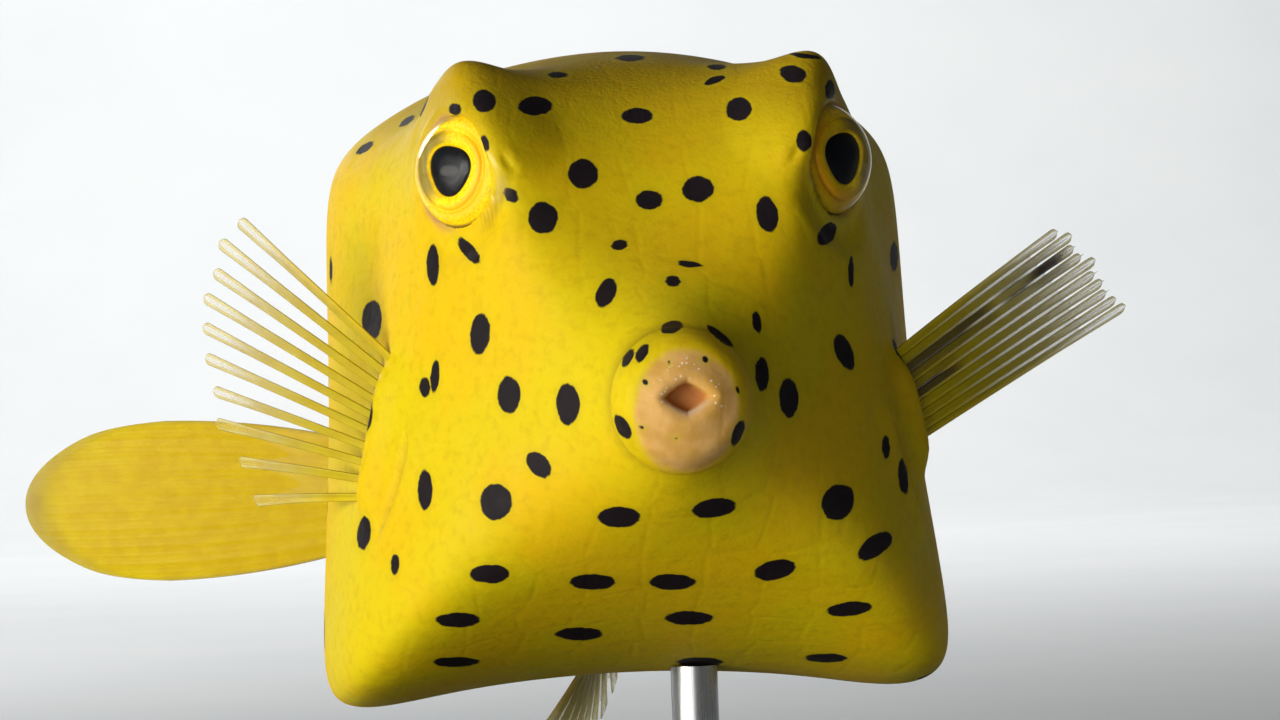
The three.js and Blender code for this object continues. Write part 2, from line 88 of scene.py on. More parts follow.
# Mouth, eyes, nostrils and gill slits
MOUTH_HALF_WIDTH = 0.97
MOUTH_HALF_HEIGHT = 0.66
MOUTH_ROUNDNESS = 1.25  # 1 is a diamond and 2 an oval
MOUTH_SIZE = 0.36  # the size of the row of points that lies on the mouth's edge
EYE_RADIUS = 2.75
EYE_PLACE = (7.5, 12.7, 10.25)
EYE_LOOKS = (0.735, -0.675, 0.05)
PUPIL_RADIUS = 0.96  # the cornea makes it look a seventh larger
PUPIL_POINT = math.radians(-80)  # where its rounded corner is, from outwards to up
BROW_HEIGHTS = (9.0, 15.5)  # between which the brow's painted shade, a darker yellow, sets in
BROW_ENDS = (20.0, 30.0)  # and how far behind the mouth it ends
NOSTRIL_PLACE = (6.4, 9.7, 10.4)
GILL_BACK = 14.3
GILL_UP = -3.7
GILL_HEIGHT = 3.6
GILL_BOW = 0.3
GILL_LEAN = 0.7  # how far its top lies ahead of its middle

# Small round forms on the skin: radius, and depth or, below 0, height
NOSTRIL_RIM = (0.55, -0.12)
NOSTRIL_PIT = (0.26, 0.42)
PECTORAL_MOUND = (0.95, -0.38)
BACK_FIN_MOUND = (1.0, -0.22)
MOUNDS = 6  # along each fin's root

# Fins
ROOT_SUNK = 1.2
PECTORAL_BACK = (15.8, 16.6)
PECTORAL_UP_RIGHT = (1.0, -4.2)
PECTORAL_UP_LEFT = (0.6, -3.2)
DORSAL_BACK = (32.4, 37.0)
ANAL_BACK = (33.4, 37.8)
CAUDAL_LENGTH = 17.8
CAUDAL_EDGE = 14.2
CAUDAL_HALF_HEIGHT = 4.3

RAY_START = 0.03  # of a ray's length, where it leaves its root
MEMBRANE = 0.05  # thickness of the skin between two rays
DARK_REFLECTION_COVER = 0.85  # how much the painted dark reflection in the clear fin skin hides
WHOLE_MAP = (0.01, 0.01, 0.99, 0.99)  # room on the bake map for a piece of one grid

# Stand
BASE_RADIUS = 21.0
BASE_THICKNESS = 4.0
BASE_BEVEL = 0.8
ROD_RADIUS = 1.1
ROD_BACK = 22.5
ROD_SIDE = 2.6
BOSS_RADIUS = 2.4
BOSS_HEIGHT = 1.4

# Camera, from the photo's perspective
PICTURE_WIDTH = 1280
PICTURE_HEIGHT = 720
FOCAL_PIXELS = 4760
MOUTH_PIXEL = (687, 397)
CAMERA_DISTANCE = 200.0
CAMERA_AZIMUTH = math.radians(-6.4)
CAMERA_ROLL = math.radians(2.1)

# Stage: a floor of paper that sweeps up behind the fish
FILM_WIDTH = 36.0
ROOM_LIGHT = 0.07
FLOOR_REACH = 600.0
FLOOR_WIDE = 900.0
SWEEP = 200.0

# How fine the skin is
SKIN_COLUMNS = 384
SHELL_ROWS = 150
LIP_ROWS = 44
TAIL_ROWS = 34
NO_MARK = 9.0  # a distance at which a mark on the skin has no effect


def linear(hex_colour):
    """The linear colour of an sRGB hex value such as E6B800."""
    parts = [int(hex_colour[i : i + 2], 16) / 255 for i in (0, 2, 4)]
    return tuple(
        p / 12.92 if p <= 0.04045 else ((p + 0.055) / 1.055) ** 2.4 for p in parts
    )


def rgba(hex_colour):
    return (*linear(hex_colour), 1.0)


# Curves of the shell, the same as in the solids


def smoothstep(x, low, high):
    t = np.clip((np.asarray(x, float) - low) / (high - low), 0, 1)
    return t * t * (3 - 2 * t)


def near(distance, reach):
    """1 at no distance, falling smoothly to about a third at the reach."""
    return np.exp(-((distance / reach) ** 2))


def between(pair, share):
    return pair[0] + (pair[1] - pair[0]) * share


def line(*points):
    """A smooth line through (y, value) points, with its neighbours' slope at each."""
    at, value = np.array(points, float).T
    before = np.maximum(np.arange(len(at)) - 1, 0)
    after = np.minimum(np.arange(len(at)) + 1, len(at) - 1)
    slope = (value[after] - value[before]) / (at[after] - at[before])

    def height(y):
        y = np.asarray(y, float)
        i = np.clip(np.searchsorted(at, y, side="right") - 1, 0, len(at) - 2)
        h = at[i + 1] - at[i]
        t = np.clip((y - at[i]) / h, 0, 1)
        u = 1 - t
        return (
            value[i] * (1 + 2 * t) * u * u
            + slope[i] * h * t * u * u
            + value[i + 1] * t * t * (3 - 2 * t)
            - slope[i + 1] * h * t * t * u
        )

    return height


back_height = line(
    (1, 2.7), (1.8, 2.95), (3.2, 3.1), (4.5, 3.8), (6, 4.9), (8.5, 7.2), (11, 10.4),
    (14, 13.6), (18, 15.6), (24, 16.5), (31, 15.8), (35, 13.8), (38.5, 10.0), (41.5, 4.6),
)
belly_height = line(
    (1, -2.95), (1.8, -3.3), (3.2, -3.3), (4.5, -4.0), (6, -5.1), (11, -8.2), (18, -11.3),
    (25, -12.9), (31, -12.6), (36, -10.8), (41.5, -6.6),
)
brow_side = line(
    (1, 2.4), (1.8, 2.6), (3.2, 2.7), (4.5, 3.4), (6, 4.6), (8.5, 6.6), (11, 7.9), (14, 8.9),
    (18, 10.3), (21, 11.8), (25, 13.4), (28, 13.7), (32, 12.8), (36, 10.4), (41.5, 4.4),
)
brow_height = line(
    (1, 2.0), (1.8, 2.2), (3.2, 2.4), (4.5, 3.2), (6, 4.6), (8.5, 8.8), (11, 13.4),
    (13.2, 16.1), (15.5, 15.5), (18, 13.6), (21, 12.4), (26, 12.1), (31, 11.4), (36, 9.2),
    (41.5, 3.6),
)
flank_side = line(
    (1, 2.85), (1.8, 3.05), (3.2, 2.9), (4.5, 3.6), (6, 4.8), (8.5, 6.8), (11, 8.7),
    (12.5, 9.7), (14, 10.5), (18, 12.4), (25, 13.7), (30, 13.2), (35, 11.0), (41.5, 4.4),
)
keel_side = line(
    (1, 2.3), (1.8, 2.5), (3.2, 2.7), (4.5, 3.8), (6, 5.5), (8.5, 8.4), (11, 10.8),
    (14, 12.9), (18, 14.6), (25, 15.0), (30, 14.3), (35, 12.0), (41.5, 4.6),
)
keel_height = line(
    (1, -2.2), (1.8, -2.4), (3.2, -2.7), (4.5, -3.4), (6, -4.6), (8.5, -6.6), (11, -8.9),
    (14, -11.5), (18, -13.8), (25, -15.0), (31, -14.3), (36, -11.7), (41.5, -6.0),
)
corner_reach = line((1, 1.2), (6, 2.4), (10, 3.2), (14, 3.4), (25, 3.8), (41.5, 2.2))


def section_corners(y):
    """The corner points of the sections at y, all round, as an array (y, 20, 2)."""
    y = np.atleast_1d(np.asarray(y, float))
    zero = np.zeros_like(y)

    def pair(x, z):
        return np.stack([x, z], axis=-1)

    back = pair(zero, back_height(y))
    belly = pair(zero, belly_height(y))
    brow = pair(brow_side(y), brow_height(y))
    keel = pair(keel_side(y), keel_height(y))
    flank = pair(flank_side(y), (brow[:, 1] + keel[:, 1]) / 2)

    def arched(middle, corner):
        return pair(corner[:, 0] / 2, middle[:, 1] + (corner[:, 1] - middle[:, 1]) / 4)

    def towards(start, end):
        way = end - start
        length = np.linalg.norm(way, axis=1)
        reach = np.minimum(corner_reach(y), length / 2)
        return start + way * (reach / length)[:, None]

    def corner(before, at, after):
        first, last = towards(at, before), towards(at, after)
        between = (first + last) / 2
        return [first, at + (between - at) * CORNER_SOFTNESS, last]

    roof = arched(back, brow)
    floor = arched(belly, keel)
    half = [back, roof, *corner(roof, brow, flank), flank, *corner(flank, keel, floor)]
    half += [floor, belly]
    mirrored = [p * (-1, 1) for p in half[-2:0:-1]]
    return np.stack(half + mirrored, axis=1)


def section_loops(y, around):
    """Points of the shell's sections, at places from 0 to 1 round each from the back."""
    corners = section_corners(y)
    count = corners.shape[1]
    along = (np.asarray(around, float) % 1) * count
    i = np.floor(along).astype(int)
    t = along - i
    weights = [
        (1 - t) ** 3 / 6,
        (3 * t**3 - 6 * t**2 + 4) / 6,
        (-3 * t**3 + 3 * t**2 + 3 * t + 1) / 6,
        t**3 / 6,
    ]
    boxed = sum(
        corners[:, (i + j - 1) % count] * w[None, :, None] for j, w in enumerate(weights)
    )
    angle = 2 * math.pi * np.asarray(around, float)
    top, bottom = back_height(y), belly_height(y)
    middle = np.atleast_1d((top + bottom) / 2)
    side = np.atleast_1d(flank_side(y))
    oval = np.stack(
        [
            side[:, None] * np.sin(angle)[None],
            middle[:, None] + (np.atleast_1d(top) - middle)[:, None] * np.cos(angle)[None],
        ],
        axis=-1,
    )
    share = smoothstep(np.atleast_1d(y), *SNOUT_ROUND_UNTIL)[:, None, None]
    return oval + (boxed - oval) * share


def shell_points(y, around):
    """Points (y, around, 3) of the shell in the fish's own measure."""
    y = np.atleast_1d(np.asarray(y, float))
    loops = section_loops(y, around)
    points = np.empty((*loops.shape[:2], 3))
    points[..., 0] = loops[..., 0]
    points[..., 1] = y[:, None]
    points[..., 2] = loops[..., 1]
    return points


def flank_at(y, z):
    """How far the skin lies from the middle at a place on the flank."""
    loop = section_loops(y, np.linspace(0.02, 0.48, 400))[0]
    return float(np.interp(z, loop[::-1, 1], loop[::-1, 0]))


def tail_path(share):
    """The tail's middle line and heading at shares from 0 to 1 along it."""
    arc = TAIL_BEND_RADIUS * TAIL_BEND_ANGLE
    along = np.asarray(share, float) * (arc + TAIL_STRAIGHT)
    angle = np.minimum(along, arc) / TAIL_BEND_RADIUS
    rest = np.maximum(along - arc, 0)
    heading = np.stack([-np.sin(angle), np.cos(angle), np.zeros_like(angle)], axis=-1)
    at = np.stack(
        [
            -TAIL_BEND_RADIUS * (1 - np.cos(angle)),
            SHELL_LENGTH + GAP + TAIL_BEND_RADIUS * np.sin(angle),
            between(TAIL_HEIGHTS, np.asarray(share)),
        ],
        axis=-1,
    )
    return at + heading * rest[..., None], heading


def tail_points(share, around, ahead=0.0, width=1.0, height=1.0):
    """Rings of the tail, some way ahead of their place and wider or higher by a factor."""
    share = np.atleast_1d(np.asarray(share, float))
    at, heading = tail_path(share)
    eased = smoothstep(share, 0, 1)
    half_width = between(TAIL_HALF_WIDTHS, eased)
    half_height = between(TAIL_HALF_HEIGHTS, eased)
    side = np.stack([heading[:, 1], -heading[:, 0], heading[:, 2]], axis=-1)
    angle = 2 * math.pi * np.asarray(around)
    points = (at + heading * np.atleast_1d(ahead)[:, None])[:, None, :]
    across = (half_width * width)[:, None] * np.sin(angle)[None]
    up = (half_height * height)[:, None] * np.cos(angle)[None]
    points = points + side[:, None, :] * across[..., None]
    points[..., 2] += up
    return points


# Meshes in the part's frame


def placed(points):
    """Points of the fish's own measure in the part's frame, in metres."""
    moved = np.asarray(points, float) + (0, -MOUTH_AHEAD, MOUTH_HEIGHT)
    return moved * MM


def new_object(name, vertices, faces):
    if len(faces) == 0:
        raise RuntimeError(f"{name} has no faces")
    mesh = bpy.data.meshes.new(name)
    mesh.from_pydata([tuple(v) for v in vertices], [], [tuple(f) for f in faces])
    mesh.update()
    mesh.polygons.foreach_set("use_smooth", [True] * len(mesh.polygons))
    obj = bpy.data.objects.new(name, mesh)
    bpy.context.scene.collection.objects.link(obj)
    return obj


def store(obj, name, values):
    """Keeps one number a vertex on the mesh, for its material."""
    attribute = obj.data.attributes.new(name, "FLOAT", "POINT")
    attribute.data.foreach_set("value", np.asarray(values, np.float32).ravel())


def store_bake_map(obj, places):
    """Gives each face corner its place on the map that colours are baked to."""
    uv = obj.data.uv_layers.new(name="OFBake")
    uv.data.foreach_set("uv", np.asarray(places, np.float32).ravel())


def grid_faces(rows, columns):
    """Quads of a grid that is closed round its columns, as an array (n, 4)."""
    r, c = np.divmod(np.arange((rows - 1) * columns), columns)
    after = (c + 1) % columns
    low, high = r * columns, (r + 1) * columns
    return np.stack([low + c, low + after, high + after, high + c], axis=1)


def grid_normals(points):
    """Outward normals of a closed grid (rows, columns, 3) from the mouth to the tail."""
    down = np.gradient(points, axis=0)
    across = np.roll(points, -1, axis=1) - np.roll(points, 1, axis=1)
    normal = np.cross(across, down)
    return normal / np.maximum(np.linalg.norm(normal, axis=2, keepdims=True), 1e-9)


def corner_places(*corners):
    """Places on the bake map as (faces, corners, 2), from (across, up) of each corner."""
    return np.stack([np.stack(corner, axis=1) for corner in corners], axis=1)


class Gathered:
    """Gathers closed grids of points into one mesh, each with its own room on the map."""

    def __init__(self):
        self.points, self.faces, self.places, self.marks = [], [], [], {}
        self.count = 0

    def add(self, points, room, flip=False, **marks):
        rows, columns = points.shape[:2]
        faces = grid_faces(rows, columns) + self.count
        r, c = np.divmod(np.arange((rows - 1) * columns), columns)
        x0, y0, x1, y1 = room
        left, right = x0 + (x1 - x0) * c / columns, x0 + (x1 - x0) * (c + 1) / columns
        low = y0 + (y1 - y0) * r / (rows - 1)
        high = y0 + (y1 - y0) * (r + 1) / (rows - 1)
        places = corner_places((left, low), (right, low), (right, high), (left, high))
        if flip:
            faces, places = faces[:, ::-1], places[:, ::-1]
        self.points.append(points.reshape(-1, 3))
        self.faces.append(faces)
        self.places.append(places.reshape(-1, 2))
        for name, values in marks.items():
            values = np.broadcast_to(values, points.shape[:2]).ravel()
            self.marks.setdefault(name, []).append(values)
        self.count += rows * columns

    def build(self, name):
        obj = new_object(name, placed(np.vstack(self.points)), np.vstack(self.faces))
        for mark, values in self.marks.items():
            store(obj, mark, np.concatenate(values))
        store_bake_map(obj, np.vstack(self.places))
        return obj


def finish_piece(obj, material, slot, *nodes):
    """Gives a piece its material and the frame's body, and hides the nodes it stands for; the
    slot is not used.
    """
    obj.data.materials.append(material)
    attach(obj, "root")
    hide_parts(*nodes)


# Materials


COORDINATES = "ShaderNodeTexCoord"
VECTOR_MATHS = "ShaderNodeVectorMath"
MATHS = "ShaderNodeMath"
NOISE = "ShaderNodeTexNoise"
CELLS = "ShaderNodeTexVoronoi"
STORED = "ShaderNodeAttribute"
RANGE = "ShaderNodeMapRange"
MIX = "ShaderNodeMix"
BUMP = "ShaderNodeBump"
PRINCIPLED = "ShaderNodeBsdfPrincipled"
SOFT = {"interpolation_type": "SMOOTHSTEP"}
COLOURS = {"data_type": "RGBA", "output": 2}  # a mix's inputs 6 and 7 are then colours
PER_METRE = (1000.0, 1000.0, 1000.0)  # turns metres to millimetres


def add_node(tree, kind, inputs=None, output=0, **options):
    """Adds a shader node, sets or links its inputs, and returns one of its outputs."""
    node = tree.nodes.new(kind)
    for name, value in options.items():
        setattr(node, name, value)
    for name, value in (inputs or {}).items():
        if isinstance(value, bpy.types.NodeSocket):
            tree.links.new(value, node.inputs[name])
        else:
            node.inputs[name].default_value = value
    return node.outputs[output] if node.outputs else None


def new_material(name, scale=PER_METRE):
    """A material, its node tree, and the object's coordinates there times the scale."""
    material = bpy.data.materials.new(name)
    material.use_nodes = True
    tree = material.node_tree
    tree.nodes.clear()
    metres = add_node(tree, COORDINATES, output="Object")
    at = add_node(tree, VECTOR_MATHS, {0: metres, 1: scale}, operation="MULTIPLY")
    return material, tree, at


def skin_material(settings):
    """Living boxfish skin stretched over bony plates, wet.

    The pigment is an even golden yellow that turns lemon in places, with small crowded
    olive grains. It takes nearly all blue light, so it stays deep in colour. The brow and
    the top of the head are painted a darker olive yellow as shade, and the creases behind
    the lips, under the eye folds and in the gill slits are painted dark as shade. The
    spots are matt and have sharp, slightly uneven edges. The lips have no yellow
    pigment, so the flesh shows. Only the rims of the eyes shine.
    """
    material, tree, at = new_material("wet_skin_over_bony_plates")
    names = ("brow", "lip", "lip_rim", "lip_inner", "mouth", "lid", "spot", "crease_shade", "wet")
    brow, lip, rim, inner, mouth, lid, spot, crease_shade, wet = (
        add_node(tree, STORED, output="Fac", attribute_name=name) for name in names
    )

    gold = (*settings.skin_yellow, 1.0)
    cloud = add_node(tree, NOISE, {"Vector": at, "Scale": 1 / 7, "Detail": 4.0})
    lemon = add_node(tree, RANGE, {"Value": cloud, "From Min": 0.36, "From Max": 0.64}, **SOFT)
    grain = add_node(tree, NOISE, {"Vector": at, "Scale": 1 / 0.5, "Detail": 3.0})
    grain = {"Value": grain, "From Min": 0.45, "From Max": 0.75, "To Max": 0.2}
    grain = add_node(tree, RANGE, grain, **SOFT)
    colour = gold
    # the brow's B69600 is painted shade: a darker yellow where less light falls on the top of
    # the head
    for share, tint in ((lemon, "DCC400"), (brow, "B69600"), (grain, "A88400")):
        colour = add_node(tree, MIX, {0: share, 6: colour, 7: rgba(tint)}, **COLOURS)

    cloud = add_node(tree, NOISE, {"Vector": at, "Scale": 1 / 1.2, "Detail": 4.0})
    pale = add_node(tree, RANGE, {"Value": cloud, "From Min": 0.35, "From Max": 0.65}, **SOFT)
    mixed = {0: pale, 6: rgba("D2A04C"), 7: (*settings.lip_flesh, 1.0)}
    flesh = add_node(tree, MIX, mixed, **COLOURS)
    cells = add_node(tree, CELLS, {"Vector": at, "Scale": 1 / 0.26})
    specks = {"Value": cells, "From Min": 0.14, "From Max": 0.28, "To Min": 0.8, "To Max": 0.0}
    specks = add_node(tree, RANGE, specks, **SOFT)
    specks = add_node(tree, MATHS, {0: specks, 1: rim}, operation="MULTIPLY")
    for share, tint in ((specks, "F4E8D4"), (inner, "C9AE98"), (mouth, "BE7E44")):
        flesh = add_node(tree, MIX, {0: share, 6: flesh, 7: rgba(tint)}, **COLOURS)
    uneven = add_node(tree, NOISE, {"Vector": at, "Scale": 1 / 0.9, "Detail": 3.0})
    edge = add_node(tree, MATHS, {0: uneven, 1: 0.5, 2: lip}, operation="MULTIPLY_ADD")
    lips = add_node(tree, RANGE, {"Value": edge, "From Min": 0.5, "From Max": 1.05}, **SOFT)

    ragged = add_node(tree, NOISE, {"Vector": at, "Scale": 1 / 0.5, "Detail": 2.0})
    ragged = add_node(tree, MATHS, {0: ragged, 1: 0.5}, operation="SUBTRACT")
    edge = add_node(tree, MATHS, {0: ragged, 1: 0.18, 2: spot}, operation="MULTIPLY_ADD")
    halo = {"Value": edge, "From Min": 0.0, "From Max": 0.35, "To Min": 0.35, "To Max": 0.0}
    halo = add_node(tree, RANGE, halo, **SOFT)
    inked = {"Value": edge, "From Min": -0.04, "From Max": 0.04, "To Min": 1.0, "To Max": 0.0}
    inked = add_node(tree, RANGE, inked, **SOFT)
    cloud = add_node(tree, NOISE, {"Vector": at, "Scale": 1 / 0.7})
    mixed = {0: cloud, 6: (*settings.spot_black, 1.0), 7: rgba("21151A")}
    ink = add_node(tree, MIX, mixed, **COLOURS)
    # fold is the colour of the painted shade in the creases behind the lips, under the eye
    # folds and in the gill slits
    rim_skin, lemon_halo, fold = rgba("B98C60"), rgba("C8B400"), rgba("5C4208")
    layers = ((lips, flesh), (lid, rim_skin), (halo, lemon_halo), (inked, ink), (crease_shade, fold))
    for share, layer in layers:
        colour = add_node(tree, MIX, {0: share, 6: colour, 7: layer}, **COLOURS)

    plates = {"Vector": at, "Scale": 1 / 2.6, "Randomness": 0.35}
    plates = add_node(tree, CELLS, plates, feature="DISTANCE_TO_EDGE")
    seams = add_node(tree, RANGE, {"Value": plates, "From Max": 0.09}, **SOFT)
    pits = add_node(tree, NOISE, {"Vector": at, "Scale": 1 / 0.2, "Detail": 2.0})
    rough = add_node(tree, MATHS, {0: brow, 1: 1.4, 2: 0.5}, operation="MULTIPLY_ADD")
    pits = add_node(tree, MATHS, {0: pits, 1: rough}, operation="MULTIPLY")
    wrinkles = add_node(tree, NOISE, {"Vector": at, "Scale": 1 / 0.9, "Detail": 5.0})
    relief = {"Strength": 0.08, "Distance": 0.00012, "Height": seams}
    normal = add_node(tree, BUMP, relief)
    relief = {"Strength": 0.35, "Distance": 0.00007, "Height": pits, "Normal": normal}
    normal = add_node(tree, BUMP, relief)
    relief = {"Strength": 0.12, "Distance": 0.00025, "Height": wrinkles, "Normal": normal}
    normal = add_node(tree, BUMP, relief)
    patches = add_node(tree, NOISE, {"Vector": at, "Scale": 1 / 1.6, "Detail": 3.0})
    gloss = {"Value": patches, "From Min": 0.3, "From Max": 0.7, "To Min": 0.58, "To Max": 0.7}
    gloss = add_node(tree, RANGE, gloss, **SOFT)
    look = {"Base Color": colour, "Roughness": gloss, "Normal": normal, "IOR": 1.38}
    look |= {"Specular IOR Level": 0.3, "Subsurface Weight": 0.2, "Subsurface Scale": 0.0005}
    look |= {"Subsurface Radius": (1.0, 0.7, 0.05), "Coat Weight": wet}
    look |= {"Coat Roughness": 0.14, "Coat IOR": 1.34}
    shader = add_node(tree, PRINCIPLED, look)
    add_node(tree, "ShaderNodeOutputMaterial", {"Surface": shader})
    return material


# Skin


def warped_shares(count, density, low=0.0, high=1.0):
    """Places from low to high, spaced more closely where the density is higher."""
    fine = np.linspace(low, high, 4000)
    total = np.concatenate([[0], np.cumsum((density(fine)[1:] + density(fine)[:-1]) / 2)])
    return np.interp(np.linspace(0, total[-1], count), total, fine)


def near_eyes(around):
    """More columns where the section passes the eyes, a fifth of the way round."""
    eye_share, reach = 0.21, 0.07
    around = around % 1
    from_eye = np.minimum(abs(around - eye_share), abs(around - (1 - eye_share)))
    return 1 + 0.9 * np.exp(-((from_eye / reach) ** 2))


def mouth_rows(around):
    """Rows from the throat out over the lips to the snout's first section.

    Each control row is the place behind the mouth, the size, and how far the loop is
    the mouth's diamond instead of the snout's oval.
    """
    control = np.array(
        [
            (0.56, 0.05, 1), (0.56, 0.16, 1), (0.52, 0.26, 1), (0.36, 0.31, 1), (0.12, 0.33, 1),
            (-0.10, 0.36, 1), (-0.24, 0.42, 0.9), (-0.28, 0.50, 0.6), (-0.16, 0.59, 0.35),
            (0.02, 0.69, 0.15), (0.18, 0.79, 0.03), (0.42, 0.88, 0), (0.72, 0.95, 0),
            (SNOUT_TIP, 1.0, 0),
        ]
    )
    steps = np.linspace(0, len(control) - 1, LIP_ROWS)
    rows = np.stack([smooth_through(control[:, k], steps) for k in range(3)], axis=1)
    outer = section_loops(SNOUT_TIP, around)[0]
    angle = np.arctan2(outer[:, 1], outer[:, 0])
    reach = 1 / (
        (abs(np.cos(angle)) / MOUTH_HALF_WIDTH) ** MOUTH_ROUNDNESS
        + (abs(np.sin(angle)) / MOUTH_HALF_HEIGHT) ** MOUTH_ROUNDNESS
    ) ** (1 / MOUTH_ROUNDNESS)
    opening = np.stack([np.cos(angle), np.sin(angle)], axis=1) * reach[:, None] / MOUTH_SIZE
    points = np.empty((LIP_ROWS, len(around), 3))
    for k, (back, size, diamond) in enumerate(rows):
        flat = outer * size + (opening * size - outer * size) * diamond
        points[k, :, 0], points[k, :, 1], points[k, :, 2] = flat[:, 0], back, flat[:, 1]
    return points, rows[:, 1]


def smooth_through(values, steps):
    """A smooth line through equally spaced values, read at fractional steps."""
    return line(*enumerate(values))(steps)


def skin_grid():
    """The skin from the throat to the tail's end, as rows round the fish."""
    around = warped_shares(SKIN_COLUMNS + 1, near_eyes, 0.5, 1.5)[:-1]
    mouth, sizes = mouth_rows(around)

    def finer_face(y):
        eyes, snout = ((y - 10.5) / 5.0) ** 2, ((y - 2.5) / 2) ** 2
        return 1 + 1.6 * np.exp(-eyes) + 1.2 * np.exp(-snout)

    y = warped_shares(SHELL_ROWS, finer_face, SNOUT_TIP, SHELL_LENGTH)[1:]
    shell = shell_points(y, around)
    first_ring = tail_points(0.0, around)[0]
    turned_in = []
    for share in (0.12, 0.3, 0.5, 0.68, 0.82, 0.92):
        ring = between((shell[-1], first_ring), share)
        ring[:, 1] = SHELL_LENGTH + 0.35 * math.sin(math.pi * share) + GAP * share
        turned_in.append(ring)
    tail = tail_points(np.linspace(0.02, 1, TAIL_ROWS), around)
    ahead = np.array([0.4, 0.9, 1.4, 1.8, 2.1, 2.25])
    width = np.array([0.95, 0.82, 0.64, 0.44, 0.24, 0.06])
    height = np.array([1.03, 1.07, 1.10, 1.10, 1.06, 0.98])
    end = tail_points(np.ones(6), around, ahead, width, height)
    grid = np.concatenate([mouth, shell, np.array(turned_in), tail, end])
    return grid, sizes


def eye_frame(side):
    """An eye's middle, its look, and the ways outwards and up across it."""
    middle = np.array(EYE_PLACE) * (side, 1, 1)
    look = np.array(EYE_LOOKS) * (side, 1, 1)
    look = look / np.linalg.norm(look)
    outer = np.cross((0, 0, 1), look) * side
    outer = outer / np.linalg.norm(outer)
    return middle, look, outer, np.cross(look, outer) * side


def open_eye(points, side):
    """Draws the skin up to a fold round the eye and down into the socket inside it.

    The fold stands high on the inner side and lies low on the outer one, where the
    clear dome of the eye bulges past the head.
    """
    crest_ahead, outer_drop, inner_rise = 1.18, 0.42, 0.22
    wall_width, socket_depth, clearance = 0.30, 0.7, 0.13
    blend = (0.25, 1.9)  # how far outside the crest the fold runs out into the head
    middle, look, outer, up = eye_frame(side)
    offset = points - middle
    ahead = offset @ look
    across = offset - ahead[..., None] * look
    out = np.linalg.norm(across, axis=-1)
    outwards = (across @ outer) / np.maximum(out, 1e-6)
    upwards = (across @ up) / np.maximum(out, 1e-6)
    upper_inner = smoothstep(upwards * 0.8 - outwards * 0.6, 0.4, 1.0)
    crest = crest_ahead - outer_drop * outwards + inner_rise * upper_inner
    crest_out = np.sqrt(EYE_RADIUS**2 - crest**2) + clearance
    ball = np.sqrt(np.maximum(EYE_RADIUS**2 - out**2, 0))
    inside = out - crest_out
    wall = smoothstep(inside, -wall_width, 0.0)
    wanted = np.minimum(ball - socket_depth, socket_depth) * (1 - wall) + crest * wall
    wanted = np.where(inside > 0, crest - 0.35 * np.maximum(inside, 0) ** 1.5, wanted)
    share = (1 - smoothstep(inside, *blend)) * smoothstep(ahead, -2.4, -1.2)
    moved = points + ((wanted - ahead) * share)[..., None] * look
    return moved, np.where(ahead > -1.5, inside, NO_MARK), outwards


def dent(points, normals, where, size):
    """Presses a round pit of a radius and depth, or a mound if the depth is below 0."""
    radius, depth = size
    away = np.linalg.norm(points - where, axis=-1)
    return points - normals * (depth * near(away, radius))[..., None]


def pectoral_foot(side, t, sunk=0.0):
    """A place along a pectoral fin's root, some way under the skin."""
    y = between(PECTORAL_BACK, t)
    z = between(PECTORAL_UP_RIGHT if side < 0 else PECTORAL_UP_LEFT, t)
    return np.array((side * (flank_at(y, z) - sunk), y, z))


def gill_distance(points, side):
    """How far points lie from the gill slit's curve, and how far behind it."""
    along = np.clip((points[..., 2] - GILL_UP) / (GILL_HEIGHT / 2), -1, 1)
    back = GILL_BACK - GILL_BOW * (1 - along**2) - GILL_LEAN * along
    over = np.maximum(abs(points[..., 2] - GILL_UP) - GILL_HEIGHT / 2, 0)
    behind = points[..., 1] - back
    other_side = (points[..., 0] * side < 4) * 50.0
    return np.sqrt(behind**2 + over**2) + other_side, behind


